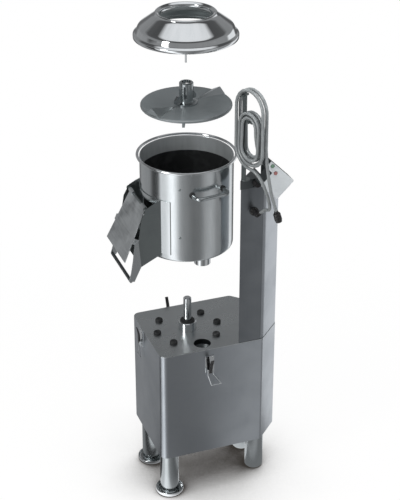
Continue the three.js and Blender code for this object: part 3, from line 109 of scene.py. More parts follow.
def new_material(name):
    """A material with its node tree and Principled shader."""
    material = bpy.data.materials.new(name)
    material.use_nodes = True
    return material, material.node_tree, material.node_tree.nodes["Principled BSDF"]


def add_node(tree, kind, *sources, settings=(), **values):
    """A node with its settings, its first inputs linked to the sources and others set."""
    node = tree.nodes.new("ShaderNode" + kind)
    for key, value in dict(settings).items():
        setattr(node, key, value)
    for source, target in zip(sources, node.inputs):
        tree.links.new(source, target)
    for key, value in values.items():
        node.inputs[key.replace("_", " ")].default_value = value
    return node


def maths(tree, operation, *sources):
    """What a Math node makes of its sources."""
    return add_node(tree, "Math", *sources, settings={"operation": operation}).outputs[0]


def plain_colour(tree, colour):
    """The socket of a colour that is blended with others."""
    node = add_node(tree, "RGB")
    node.outputs[0].default_value = colour
    return node.outputs[0]


def mix_colours(tree, share, first, second):
    """Blends two colour sockets by a share socket."""
    mix = add_node(tree, "Mix", settings={"data_type": "RGBA"})
    for label, source in (("Factor", share), ("A", first), ("B", second)):
        tree.links.new(source, mix.inputs[label])
    return mix.outputs["Result"]


def seen_in_mirrors(tree, path):
    """A share of 1 for the rays that a mirror or glass sends."""
    return maths(tree, "MAXIMUM", path.outputs["Is Glossy Ray"],
                 path.outputs["Is Transmission Ray"])


def group_node(tree, group, source, **values):
    """Places a shader group, reads it at the source and sets its other inputs."""
    node = add_node(tree, "Group", settings={"node_tree": group}, **values)
    tree.links.new(source, node.inputs["Vector"])
    return node


def own_place(tree):
    """The place on the object itself, so that a finish moves with its piece."""
    return add_node(tree, "TexCoord").outputs["Object"]


SMOOTH = {"interpolation_type": "SMOOTHSTEP"}
COOL = (1.0, 1.01, 1.03)


def set_stops(node, stops):
    """Fills a colour ramp with slightly cool greys: (place from 0 to 1, how light)."""
    ramp = node.color_ramp.elements
    for place, light in stops:
        stop = ramp[0] if place == 0 else ramp[-1] if place == 1 else ramp.new(place)
        stop.color = (*(light * share for share in COOL), 1)


print("helpers for materials are ready")

# %% The room's bands
# Compass degrees from the right, counted towards the back, and how light the room is there
ROOM_BANDS = [(-180, 0.10), (-176, 0.85), (-160, 0.85), (-150, 1.4), (-140, 1.3), (-128, 0.42),
              (-118, 0.30), (-96, 0.18), (-78, 0.20), (-64, 0.42), (-50, 0.48), (-42, 0.42),
              (-34, 0.28), (-4, 0.28), (3, 0.90), (31, 0.90), (38, 0.10), (56, 0.12), (62, 0.8),
              (76, 0.8), (84, 0.14), (100, 0.18), (108, 0.33), (150, 0.30), (162, 0.06),
              (180, 0.05)]
room = bpy.data.node_groups.new("studio_room", "ShaderNodeTree")
room.interface.new_socket("Vector", in_out="INPUT", socket_type="NodeSocketVector")
room.interface.new_socket("Color", in_out="OUTPUT", socket_type="NodeSocketColor")
room_in = room.nodes.new("NodeGroupInput")
room_out = room.nodes.new("NodeGroupOutput")
split = add_node(room, "SeparateXYZ", room_in.outputs["Vector"])
compass = maths(room, "ARCTAN2", split.outputs["Y"], split.outputs["X"])
turned = add_node(room, "MapRange", compass, From_Min=-math.pi, From_Max=math.pi)
bands = add_node(room, "ValToRGB", turned.outputs[0])
set_stops(bands, [((degrees + 180) / 360, light) for degrees, light in ROOM_BANDS])
room.links.new(bands.outputs["Color"], room_out.inputs["Color"])
print("room bands:", len(ROOM_BANDS))

# %% World: white for the camera, plain for diffuse light, bands for mirrors
PLAIN = (0.42, 0.425, 0.435, 1)
WHITE = (1.0, 1.0, 1.0, 1)
# The sine of the height above the horizon: where the bands give way, and how light it is there
BLEND = (0.10, 0.24)
UPPER_BANDS = [(0.0, 0.30), (0.5, 0.26), (0.6, 0.10), (0.8, 0.08), (0.87, 0.80), (1.0, 0.90)]
world = bpy.data.worlds.new("studio")
scene.world = world
world.use_nodes = True
wt = world.node_tree
direction = add_node(wt, "TexCoord").outputs["Generated"]
bands_here = group_node(wt, room, direction)
height = add_node(wt, "SeparateXYZ", direction).outputs["Z"]
rise = add_node(wt, "MapRange", height, settings=SMOOTH, From_Min=BLEND[0], From_Max=BLEND[1])
upper = add_node(wt, "ValToRGB", height)
set_stops(upper, UPPER_BANDS)
path = add_node(wt, "LightPath")
around = mix_colours(wt, rise.outputs[0], bands_here.outputs[0], upper.outputs[0])
lit = mix_colours(wt, seen_in_mirrors(wt, path), plain_colour(wt, PLAIN), around)
seen = mix_colours(wt, path.outputs["Is Camera Ray"], lit, plain_colour(wt, WHITE))
wt.links.new(seen, wt.nodes["Background"].inputs["Color"])
print("world:", len(UPPER_BANDS), "levels above the horizon")

# %% [markdown]
# ### Floor
# The photograph's floor is white with a soft warm shadow close to the machine. A floor that is
# merely lit stays grey, so this one glows white for the camera, and where the machine closes it
# in, found with ambient occlusion, the glow gives way to a warm shade. A small share of lit floor
# near the machine keeps its real shadow. Mirrors see the room's bands.

# %% Floor: white for the camera but for the shadow, the same bands for mirrors
FLOOR_SIZE = 60.0
FLOOR_COLOUR = (0.92, 0.90, 0.88, 1)
FLOOR_ROUGHNESS, FLOOR_SHINE = 0.8, 0.1
NEAR, FAR = 0.9, 2.4
NEAR_SHARE = 0.94
SHADE_REACH, SHADE_SAMPLES = 0.9, 16
OPEN = (0.30, 0.88)
SHADE = (0.028, 0.023, 0.019, 1)
floor_mesh = bmesh.new()
bmesh.ops.create_grid(floor_mesh, x_segments=1, y_segments=1, size=FLOOR_SIZE / 2)
floor_data = bpy.data.meshes.new("floor")
floor_mesh.to_mesh(floor_data)
floor_mesh.free()
floor = bpy.data.objects.new("floor", floor_data)
scene.collection.objects.link(floor)
floor_paint, ft, floor_shader = new_material("studio_floor")
floor_shader.inputs["Base Color"].default_value = FLOOR_COLOUR
floor_shader.inputs["Roughness"].default_value = FLOOR_ROUGHNESS
floor_shader.inputs["Specular IOR Level"].default_value = FLOOR_SHINE
floor_place = own_place(ft)
distance = add_node(ft, "VectorMath", floor_place, settings={"operation": "LENGTH"})
away = add_node(ft, "MapRange", distance.outputs["Value"], settings=SMOOTH, From_Min=NEAR,
                From_Max=FAR, To_Min=NEAR_SHARE, To_Max=1.0)
floor_path = add_node(ft, "LightPath")
floor_bands = group_node(ft, room, floor_place)
floor_mirror = seen_in_mirrors(ft, floor_path)
closed_in = add_node(ft, "AmbientOcclusion", settings={"samples": SHADE_SAMPLES},
                     Distance=SHADE_REACH)
open_share = add_node(ft, "MapRange", closed_in.outputs["AO"], settings=SMOOTH,
                      From_Min=OPEN[0], From_Max=OPEN[1])
under = mix_colours(ft, open_share.outputs[0], plain_colour(ft, SHADE), plain_colour(ft, WHITE))
glow = add_node(ft, "Emission", mix_colours(ft, floor_mirror, under, floor_bands.outputs[0]))
camera_share = maths(ft, "MULTIPLY", floor_path.outputs["Is Camera Ray"], away.outputs[0])
blend = add_node(ft, "MixShader", maths(ft, "MAXIMUM", camera_share, floor_mirror),
                 floor_shader.outputs[0], glow.outputs[0])
ft.links.new(blend.outputs[0], ft.nodes["Material Output"].inputs["Surface"])
floor_data.materials.append(floor_paint)
print("floor of", FLOOR_SIZE, "m, its shadow zone", FAR, "m round the machine")

# %% [markdown]
# ### Lamps
# Three large soft lamps give the shape: left front, right front and above. Only the left one shows
# in mirrors, as the photograph has a single bright window on the lid's brim.

# %% Lamps


def soft_lamp(name, place, aim, size, power, colour=(1, 1, 1)):
    """A rectangular lamp at a point of the drawing, aimed at another, its size in metres."""
    lamp = bpy.data.objects.new(name, bpy.data.lights.new(name, "AREA"))
    lamp.data.shape = "RECTANGLE"
    lamp.data.size, lamp.data.size_y = size
    lamp.data.energy = power
    lamp.data.color = colour
    lamp.location = at(*place)
    lamp.rotation_mode = "QUATERNION"
    lamp.rotation_quaternion = (at(*aim) - lamp.location).to_track_quat("-Z", "Y")
    scene.collection.objects.link(lamp)
    return lamp


soft_lamp("lamp_left", (-3600, -1500, 2600), (0, 0, 1100), (0.9, 3.2), 70, (1.0, 0.995, 0.985))
right = soft_lamp("lamp_right", (3000, -2600, 2200), (0, 0, 1000), (0.8, 2.6), 30,
                  (0.97, 0.985, 1.0))
above = soft_lamp("lamp_above", (-300, -600, 5200), (0, 0, 900), (2.6, 2.6), 170)
above.visible_glossy = right.visible_glossy = False

# %% [markdown]
# ## Hose
# A water hose of 13 mm runs from its loose connector up to the hanger, makes six turns in two
# layers and comes down to the inlet on the column. A hose is a curve with a round section, so
# one spline follows the same route as the CAD frame, and it can be no shorter than it looks.

# %% The hose's route
HOSE = 13
COIL = Vector((177, -238, PLATE_TOP + 981))
COIL_TURN = math.radians(-72)
ALONG = Vector((math.cos(COIL_TURN), math.sin(COIL_TURN), 0))
ACROSS = Vector((-math.sin(COIL_TURN), math.cos(COIL_TURN), 0))
LAYER_OFFSET = 9.5
OUTER_LOOP, OUTER_STRAIGHT = 78, 82
RING_DROP, RING_STRAIGHT, RING_OUTER, RING_INNER = 34, 44, 64.5, 34
RING_START, RING_REVERSE, RING_END = 1, 3.2, 5
COIL_START, COIL_END, TURN_STEPS = 0.195, 6, 36
MOVE_SHARE, CLIMB_SHARE = 0.16, 0.35
INLET_LEAN = Vector((0.24, -0.73, 0.64)).normalized()
JOIN = 0.3
FREE_TAIL = [(0, 0, 0), (0, 0, -14), (3, -3, -68), (9, -7, -123), (20, -11, -191), (31, -15, -237),
             (40, -18, -272)]
INLET_TAIL = [(0, 0, 0), (3.1, -9.5, 0), (7.5, -22, -3), (16, -37, -15), (27, -47, -37),
              (39, -53, -69), (50, -55, -101), (58, -53, -131), (63, -47, -153), (64, -36, -168),
              (61, -18, -176)]
INLET = Vector((216, -220, PLATE_TOP + 604))
INLET_BARB = 26
print("hose of", HOSE, "mm round a coil at", tuple(COIL))

# %% Points of a loop, of the coil and of a smooth run


def smooth_step(value):
    """Goes softly from 0 to 1."""
    held = min(max(value, 0), 1)
    return held * held * (3 - 2 * held)


def loop_point(turns, radius, straight):
    """A point of a loop with round ends and straight sides, a share of a turn from its foot."""
    arc = math.pi / 2 * radius
    quarter = arc + 2 * straight
    walked = (turns % 1) * 2 * (quarter + arc)
    if walked < arc:
        return radius * math.sin(walked / radius), -straight - radius * math.cos(walked / radius)
    if walked < quarter:
        return radius, walked - arc - straight
    if walked < quarter + 2 * arc:
        angle = (walked - quarter) / radius
        return radius * math.cos(angle), straight + radius * math.sin(angle)
    if walked < 2 * quarter + arc:
        return -radius, straight - (walked - quarter - 2 * arc)
    angle = (walked - 2 * quarter - arc) / radius
    return -radius * math.cos(angle), -straight - radius * math.sin(angle)


def coil_point(turns):
    """The hose's centre after some turns of the coil."""
    leaving = smooth_step((turns - RING_START) / MOVE_SHARE + 0.5)
    returning = smooth_step((turns - RING_END) / MOVE_SHARE)
    outer = 1 - leaving + returning
    span = RING_REVERSE - RING_START if turns < RING_REVERSE else RING_END - RING_REVERSE
    ring = RING_INNER + (RING_OUTER - RING_INNER) * min(abs(turns - RING_REVERSE) / span, 1)
    radius = ring + (OUTER_LOOP - ring) * outer
    straight = RING_STRAIGHT + (OUTER_STRAIGHT - RING_STRAIGHT) * outer
    side = LAYER_OFFSET * (1 - 2 * smooth_step((turns - RING_REVERSE) / CLIMB_SHARE + 0.5))
    along, up = loop_point(turns, radius, straight)
    lift = Vector((0, 0, up - RING_DROP * (1 - outer)))
    return COIL + ALONG * along + ACROSS * side + lift


def smooth_run(spots, each=6):
    """Points of a smooth curve through the spots, so that the hose shows no kinks."""
    full = [2 * spots[0] - spots[1]] + spots + [2 * spots[-1] - spots[-2]]
    run = []
    for a, b, c, d in zip(full, full[1:], full[2:], full[3:]):
        for k in range(each):
            t = k / each
            run.append(0.5 * (2 * b + (c - a) * t + (2 * a - 5 * b + 4 * c - d) * t * t
                              + (3 * b - a - 3 * c + d) * t ** 3))
    return run + [spots[-1]]


print("the coil's middle lies at", tuple(round(v, 1) for v in coil_point(RING_REVERSE)))

# %% The whole route, from the connector to the inlet
steps = round((COIL_END - COIL_START) * TURN_STEPS)
coil = [coil_point(COIL_START + (COIL_END - COIL_START) * i / steps) for i in range(steps + 1)]
coil_end = coil[-1] + ALONG * HOSE
free = [coil[0] + (coil[0] - coil[1]).normalized() * JOIN + Vector(p) for p in FREE_TAIL]
inlet = [coil_end + ALONG * JOIN + Vector(p) for p in INLET_TAIL]
inlet += [INLET + INLET_LEAN * (INLET_BARB + more) for more in (2 * HOSE, HOSE, JOIN)]
route = smooth_run(free[:0:-1] + [coil[0]])[:-1] + coil + smooth_run(inlet)

# %% The hose as one curve
hose_curve = bpy.data.curves.new("hose", "CURVE")
hose_curve.dimensions = "3D"
hose_curve.bevel_depth = HOSE / 2 * MM
hose_curve.bevel_resolution = 4
hose_curve.use_fill_caps = True
spline = hose_curve.splines.new("POLY")
spline.points.add(len(route) - 1)
for spot, place in zip(spline.points, route):
    spot.co = (*at(*place), 1)
hose = bpy.data.objects.new("water_hose", hose_curve)
scene.collection.objects.link(hose)
print(hose.name, "of", len(spline.points), "points,", HOSE, "mm thick")

# %% [markdown]
# ## Finishes
# Steel is never one even grey. It has a grain from the belt that brushed it, and hands and water
# leave cloudier places. Two node groups make that once: one reads the grain along a direction,
# the other wraps it round a turned piece. Every steel then gets its own tint, gloss and depth.

# %% A group's sockets and its parts


def new_group(name, inputs, outputs):
    """An empty shader group with named sockets: (name, kind, value) in and (name, kind) out."""
    group = bpy.data.node_groups.new(name, "ShaderNodeTree")
    for label, kind, value in inputs:
        socket = group.interface.new_socket(label, in_out="INPUT", socket_type="NodeSocket" + kind)
        if value is not None:
            socket.default_value = value
    for label, kind in outputs:
        group.interface.new_socket(label, in_out="OUTPUT", socket_type="NodeSocket" + kind)
    return group, group.nodes.new("NodeGroupInput"), group.nodes.new("NodeGroupOutput")


print("groups so far:", [g.name for g in bpy.data.node_groups])

# %% [markdown]
# ### Brushed grain
# The grain is noise that is stretched far along one way and squeezed across it. The cloudy
# places are plain noise at hand size. Both change the colour a little, and the gloss more.

# %% The grain group
GRAIN_INPUTS = [("Vector", "Vector", None), ("Squeeze", "Vector", (700, 700, 6)),
                ("Tint", "Color", (0.6, 0.6, 0.6, 1)), ("Cloud", "Color", (0.45, 0.45, 0.45, 1)),
                ("Gloss low", "Float", 0.2), ("Gloss high", "Float", 0.35),
                ("Depth", "Float", 0.08)]
grain, g_in, g_out = new_group("brushed_grain", GRAIN_INPUTS,
                               [("Color", "Color"), ("Roughness", "Float"), ("Normal", "Vector")])
squeeze = add_node(grain, "VectorMath", g_in.outputs["Vector"], g_in.outputs["Squeeze"],
                   settings={"operation": "MULTIPLY"})
lines = add_node(grain, "TexNoise", squeeze.outputs[0], Scale=1.0, Detail=3.0, Roughness=0.6)
clouds = add_node(grain, "TexNoise", g_in.outputs["Vector"], Scale=7.0, Detail=4.0,
                  Roughness=0.55, Distortion=0.4)
patch = add_node(grain, "MapRange", clouds.outputs["Fac"], From_Min=0.38, From_Max=0.68)
both = maths(grain, "MULTIPLY", patch.outputs[0], lines.outputs["Fac"])
grain.links.new(mix_colours(grain, both, g_in.outputs["Tint"], g_in.outputs["Cloud"]),
                g_out.inputs["Color"])
gloss = add_node(grain, "MapRange", both)
grain.links.new(g_in.outputs["Gloss low"], gloss.inputs["To Min"])
grain.links.new(g_in.outputs["Gloss high"], gloss.inputs["To Max"])
grain.links.new(gloss.outputs[0], g_out.inputs["Roughness"])
grooves = add_node(grain, "Bump", Distance=0.0004)
grain.links.new(lines.outputs["Fac"], grooves.inputs["Height"])
grain.links.new(g_in.outputs["Depth"], grooves.inputs["Strength"])
grain.links.new(grooves.outputs["Normal"], g_out.inputs["Normal"])
print(grain.name, "has", len(grain.nodes), "nodes")

# %% [markdown]
# ### Grain round a turned piece
# On a lid or a drum the grain runs round the axis. Turning x and y into an angle and a radius
# before the grain group does that, so that the same group serves flat and round pieces.

# %% The group that wraps a place round an axis
wrap, w_in, w_out = new_group("wrap_round", [("Vector", "Vector", None)], [("Vector", "Vector")])
parts = add_node(wrap, "SeparateXYZ", w_in.outputs["Vector"])
way_round = maths(wrap, "ARCTAN2", parts.outputs["Y"], parts.outputs["X"])
flat = add_node(wrap, "CombineXYZ", parts.outputs["X"], parts.outputs["Y"])
radius_here = add_node(wrap, "VectorMath", flat.outputs[0], settings={"operation": "LENGTH"})
wound = add_node(wrap, "CombineXYZ", way_round, radius_here.outputs["Value"], parts.outputs["Z"])
wrap.links.new(wound.outputs[0], w_out.inputs["Vector"])
print(wrap.name, "has", len(wrap.nodes), "nodes")

# %% [markdown]
# ### One function for every steel
# A steel differs from the next only in tint, gloss, depth of grain and the way the grain runs, so
# one function builds them all from the two groups.

# %% A finish that reads a group, and a steel


def dressed_shader(name, group, place, metal=0.0, coat=0.0, **values):
    """A material whose colour, gloss and normal come from a group, read at a place."""
    material, tree, shader = new_material(name)
    marks = group_node(tree, group, place(tree), **values)
    for socket, target in (("Color", "Base Color"), ("Roughness", "Roughness"),
                           ("Normal", "Normal")):
        tree.links.new(marks.outputs[socket], shader.inputs[target])
    shader.inputs["Metallic"].default_value = metal
    shader.inputs["Coat Weight"].default_value = coat
    return material


def steel(name, tint, cloud, gloss, depth=0.08, squeeze=(700, 700, 6), centre=None, metal=1.0):
    """A steel finish. With a centre, in the frame, its grain runs round the upright axis there."""
    def place(tree):
        spot = own_place(tree)
        if centre is None:
            return spot
        moved = add_node(tree, "Mapping", spot, Location=(-centre.x, -centre.y, 0))
        return group_node(tree, wrap, moved.outputs[0]).outputs[0]

    return dressed_shader(name, grain, place, metal, Squeeze=squeeze, Tint=(*tint, 1),
                          Cloud=(*cloud, 1), Gloss_low=gloss[0], Gloss_high=gloss[1], Depth=depth)


print("a steel takes its grain from", grain.name, "and", wrap.name)

# %% [markdown]
# ### The steels
# Cabinet, column and legs are brushed upright, plates along their length and turned pieces round
# their axis. The lid is polished, the disc is a rough casting, and the inside of the drum is
# duller than its outside. The grain's squeeze says how fine it is along x, y and z.

# %% The steels
ROUND = (4, 900, 900)
UPRIGHT = (800, 800, 5)
LEVEL = (6, 800, 800)
CAST = (260, 260, 260)
cabinet_steel = steel("cabinet_steel", (0.50, 0.53, 0.56), (0.40, 0.43, 0.46), (0.30, 0.42),
                      squeeze=UPRIGHT)
plate_steel = steel("plate_steel", (0.68, 0.71, 0.72), (0.54, 0.57, 0.58), (0.26, 0.38),
                    squeeze=LEVEL)
door_steel = steel("door_steel", (0.74, 0.77, 0.78), (0.08, 0.09, 0.095), (0.34, 0.46), depth=0.3,
                   squeeze=(120, 8, 120))
# A darker copy of the upright steel for the column's front faces: painted shade
column_painted_shade_steel = steel("column_painted_shade_steel", (0.24, 0.255, 0.27), (0.18, 0.195, 0.21), (0.30, 0.42),
                     squeeze=UPRIGHT)
# A paler steel for the disc's slanted faces: a painted highlight on the fins
fin_painted_highlight_steel = steel("fin_painted_highlight_steel", (0.50, 0.53, 0.54), (0.36, 0.39, 0.40), (0.34, 0.46), depth=0.3,
                  squeeze=CAST)
leg_steel = steel("leg_steel", (0.50, 0.53, 0.54), (0.38, 0.41, 0.42), (0.20, 0.32),
                  squeeze=UPRIGHT)
drum_steel = steel("drum_steel", (0.70, 0.73, 0.74), (0.56, 0.60, 0.61), (0.16, 0.26),
                   squeeze=ROUND, centre=AXIS)
lid_steel = steel("lid_steel", (0.78, 0.80, 0.81), (0.66, 0.69, 0.70), (0.05, 0.11), depth=0.02,
                  squeeze=ROUND, centre=AXIS)
bright_steel = steel("bright_steel", (0.76, 0.78, 0.79), (0.62, 0.65, 0.66), (0.10, 0.18),
                     depth=0.03, squeeze=(60, 60, 700))
dark_sheet = steel("dark_sheet", (0.30, 0.33, 0.33), (0.22, 0.24, 0.25), (0.38, 0.5),
                   squeeze=LEVEL)
pale_sheet = steel("pale_sheet", (0.74, 0.78, 0.80), (0.64, 0.68, 0.70), (0.30, 0.42),
                   squeeze=LEVEL, metal=0.25)
inner_steel = steel("inner_steel", (0.56, 0.59, 0.60), (0.42, 0.45, 0.46), (0.34, 0.46),
                    squeeze=ROUND, centre=AXIS, metal=0.45)
deep_sheet = steel("deep_sheet", (0.15, 0.165, 0.17), (0.10, 0.11, 0.115), (0.34, 0.46),
                   squeeze=LEVEL)
disc_face = steel("disc_face", (0.24, 0.265, 0.275), (0.17, 0.19, 0.195), (0.46, 0.62), depth=0.5,
                  squeeze=CAST, metal=0.55)
print("steels:", len([m for m in bpy.data.materials if m is not floor_paint]))

# %% [markdown]
# ### Rubber, plastic and paint
# These are not metal: a dark colour, a fine pebbled surface and a softer shine. One group gives
# the pebbles and the paler, rubbed places, and each material sets its own colours.

# %% The pebbled group
pebbled, p_in, p_out = new_group(
    "pebbled", [("Vector", "Vector", None), ("Grain", "Float", 900.0), ("Base", "Color", None),
                ("Rubbed", "Color", None), ("Rough low", "Float", 0.5),
                ("Rough high", "Float", 0.7), ("Depth", "Float", 0.2)],
    [("Color", "Color"), ("Roughness", "Float"), ("Normal", "Vector")])
fine = add_node(pebbled, "TexNoise", p_in.outputs["Vector"], Detail=2.0)
pebbled.links.new(p_in.outputs["Grain"], fine.inputs["Scale"])
rubbed = add_node(pebbled, "TexNoise", p_in.outputs["Vector"], Scale=22.0, Detail=4.0,
                  Distortion=0.6)
rub_share = add_node(pebbled, "MapRange", rubbed.outputs["Fac"], From_Min=0.45, From_Max=0.72)
pebbled.links.new(mix_colours(pebbled, rub_share.outputs[0], p_in.outputs["Base"],
                              p_in.outputs["Rubbed"]), p_out.inputs["Color"])
rub_gloss = add_node(pebbled, "MapRange", rub_share.outputs[0])
pebbled.links.new(p_in.outputs["Rough high"], rub_gloss.inputs["To Min"])
pebbled.links.new(p_in.outputs["Rough low"], rub_gloss.inputs["To Max"])
pebbled.links.new(rub_gloss.outputs[0], p_out.inputs["Roughness"])
pebbles = add_node(pebbled, "Bump", Distance=0.0005)
pebbled.links.new(fine.outputs["Fac"], pebbles.inputs["Height"])
pebbled.links.new(p_in.outputs["Depth"], pebbles.inputs["Strength"])
pebbled.links.new(pebbles.outputs["Normal"], p_out.inputs["Normal"])
print(pebbled.name, "has", len(pebbled.nodes), "nodes")

# %% Rubber, plastic, the lining's coat and paint


def plastic(name, base, rubbed_colour, rough, depth=0.2, grain_scale=900.0, coat=0.0):
    """A rubber, plastic or paint with pebbles of its own."""
    return dressed_shader(name, pebbled, own_place, coat=coat, Base=(*base, 1),
                          Rubbed=(*rubbed_colour, 1), Rough_low=rough[0], Rough_high=rough[1],
                          Depth=depth, Grain=grain_scale)


rubber = plastic("black_rubber", (0.012, 0.013, 0.014), (0.03, 0.031, 0.032), (0.5, 0.68))
black_plastic = plastic("black_plastic", (0.014, 0.013, 0.014), (0.03, 0.03, 0.03), (0.3, 0.42))
lining_coat = plastic("lining_coat", (0.010, 0.011, 0.012), (0.022, 0.024, 0.025), (0.6, 0.8),
                      depth=0.9, grain_scale=420.0)
hose_plastic = plastic("hose_plastic", (0.20, 0.215, 0.22), (0.26, 0.28, 0.285), (0.2, 0.3),
                       depth=0.05, coat=0.4)
motor_paint = plastic("motor_paint", (0.06, 0.075, 0.09), (0.09, 0.10, 0.12), (0.4, 0.55))
green_plastic = plastic("green_plastic", (0.14, 0.24, 0.17), (0.18, 0.28, 0.21), (0.25, 0.35))
red_plastic = plastic("red_plastic", (0.30, 0.12, 0.11), (0.34, 0.16, 0.15), (0.25, 0.35))
hose_curve.materials.append(hose_plastic)
print("materials:", len(bpy.data.materials), "groups:", [g.name for g in bpy.data.node_groups])

# %% [markdown]
# ## From bmesh to a finished piece
# Each piece below is shaped in a bmesh and then handed to `finish_piece`, which merges doubled
# points, turns the faces outwards, keeps real corners sharp and lets round sides shade smoothly.
# A bevel on the corners catches light as real sheet edges do. The piece then rides on its body
# and stands for its CAD node.

# %% Finishing a piece
WELD = 0.02
EDGE_STEPS = 2


def finish_piece(name, bm, material, body, replaced=(), sharp=32, wall=0.0, edge=0.0,
                 inside=None):
    """A mesh object from a bmesh, with a sheet thickness and rounded edges in mm if given. The
    thickness goes inwards, and its inner skin can have a finish of its own."""
    bmesh.ops.remove_doubles(bm, verts=bm.verts, dist=WELD * MM)
    bmesh.ops.recalc_face_normals(bm, faces=bm.faces)
    for face in bm.faces:
        face.smooth = True
    for line in bm.edges:
        line.smooth = line.calc_face_angle(0) < math.radians(sharp)
    data = bpy.data.meshes.new(name)
    bm.to_mesh(data)
    bm.free()
    data.materials.append(material)
    obj = bpy.data.objects.new(name, data)
    scene.collection.objects.link(obj)
    if wall:
        sheet = obj.modifiers.new("sheet", "SOLIDIFY")
        sheet.thickness, sheet.offset = wall * MM, -1
        if inside:
            data.materials.append(inside)
            sheet.material_offset = 1
    if edge:
        soft = obj.modifiers.new("edges", "BEVEL")
        soft.width, soft.segments, soft.limit_method = edge * MM, EDGE_STEPS, "ANGLE"
        soft.angle_limit = math.radians(sharp)
        soft.harden_normals = True
    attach(obj, body)
    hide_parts(*replaced)
    print(f"{name}: {len(data.polygons)} faces, {material.name}")
    return obj


# %% [markdown]
# ### Round pieces and bent bars
# A turned piece is half a profile spun round its axis, and the profile's corners are bevelled
# before the spin, while they are still single points. A bent bar is a circle that is drawn along
# each straight and spun round each bend.

# %% Spinning a profile
CORNER_STEPS = 4


def spin_round(bm, profile, centre=(0, 0), steps=96):
    """Spins a profile once round an upright axis. A point is (radius, level) or, where the
    corner is rounded, (radius, level, corner radius), all in mm."""
    before = set(bm.verts)
    spots = [bm.verts.new(at(centre[0] + p[0], centre[1], p[1])) for p in profile]
    for pair in zip(spots, spots[1:]):
        bm.edges.new(pair)
    for corner in sorted({p[2] for p in profile if len(p) > 2}):
        chosen = [v for v, p in zip(spots, profile) if len(p) > 2 and p[2] == corner]
        bmesh.ops.bevel(bm, geom=chosen, offset=corner * MM, segments=CORNER_STEPS, profile=0.5,
                        affect="VERTICES", material=-1)
    section = [v for v in bm.verts if v not in before]
    lines = list({e for v in section for e in v.link_edges})
    bmesh.ops.spin(bm, geom=section + lines, cent=at(*centre, 0), axis=(0, 0, 1),
                   angle=2 * math.pi, steps=steps, use_merge=True)
    return bm


print("round corners take", CORNER_STEPS, "steps")

# %% Bending a bar
STRAIGHT = 0.01


def bent_bar(bm, corners, radius, bend, sides=20, steps=6):
    """A round bar along corner points in mm: extruded along each straight, spun round each bend."""
    points = [at(*c) for c in corners]
    first = (points[1] - points[0]).normalized()
    ring = bmesh.ops.create_circle(bm, cap_ends=False, segments=sides, radius=radius * MM,
                                   matrix=Matrix.Translation(points[0])
                                   @ first.to_track_quat("Z", "Y").to_matrix().to_4x4())["verts"]
    edges = list({e for v in ring for e in v.link_edges})
    caps = [edges]
    for i, corner in enumerate(points[1:], 1):
        way = (corner - points[i - 1]).normalized()
        here = sum((v.co for v in ring), Vector()) / len(ring)
        turn_angle, back = 0.0, 0.0
        if i < len(points) - 1:
            onward = (points[i + 1] - corner).normalized()
            turn_angle = way.angle(onward)
            back = bend * MM * math.tan(turn_angle / 2)
        drawn = bmesh.ops.extrude_edge_only(bm, edges=edges)["geom"]
        ring = [g for g in drawn if isinstance(g, bmesh.types.BMVert)]
        edges = [g for g in drawn if isinstance(g, bmesh.types.BMEdge)
                 and all(v in ring for v in g.verts)]
        bmesh.ops.translate(bm, verts=ring, vec=way * ((corner - here).dot(way) - back))
        if turn_angle > STRAIGHT:
            axis = way.cross(onward).normalized()
            hub = corner - way * back + axis.cross(way) * bend * MM
            last = bmesh.ops.spin(bm, geom=ring + edges, cent=hub, axis=axis, angle=turn_angle,
                                  steps=steps)["geom_last"]
            ring = [g for g in last if isinstance(g, bmesh.types.BMVert)]
            edges = [g for g in last if isinstance(g, bmesh.types.BMEdge)]
    caps.append(edges)
    for rim in caps:
        bmesh.ops.contextual_create(bm, geom=rim)
    return bm


print("a bend below", STRAIGHT, "radians stays straight")

# %% [markdown]
# ### Flat work from the frame
# Plates, brackets and blocks are already right in the frame, but their faces are loose triangles
# with knife edges. A merged copy with whole faces can be bevelled, which a triangle soup cannot.
# Where one piece shows two finishes, a test by a face's normal and middle picks the second.

# %% Merged copies and second finishes
SAME_PLANE = math.radians(1.5)
CUT_SLACK = 1e-6
STEEP = 0.5


def fair_copy(node, material, body, edge=0.6, sharp=28):
    """A merged copy of a CAD node with its flat faces made whole and its edges rounded."""
    bm = bmesh.new()
    bm.from_mesh(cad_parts[node].data)
    bmesh.ops.remove_doubles(bm, verts=bm.verts, dist=WELD * MM)
    bmesh.ops.dissolve_limit(bm, angle_limit=SAME_PLANE, verts=bm.verts, edges=bm.edges)
    return finish_piece(node + "_dressed", bm, material, body, (node,), sharp=sharp,
                        edge=edge)


def second_finish(obj, material, chosen):
    """Gives the faces that a test picks, by normal and middle, a finish of their own."""
    obj.data.materials.append(material)
    faces = [f for f in obj.data.polygons if chosen(f.normal, f.center)]
    for face in faces:
        face.material_index = 1
    print(obj.name, "faces in", material.name + ":", len(faces))


def cut_along(bm, place, normal, chosen):
    """Cuts the faces whose middle a test picks along a plane."""
    faces = [f for f in bm.faces if chosen(f.calc_center_median())]
    there = faces + list({e for f in faces for e in f.edges})
    there += list({v for f in faces for v in f.verts})
    bmesh.ops.bisect_plane(bm, geom=there, plane_co=place, plane_no=normal,
                           dist=CUT_SLACK)


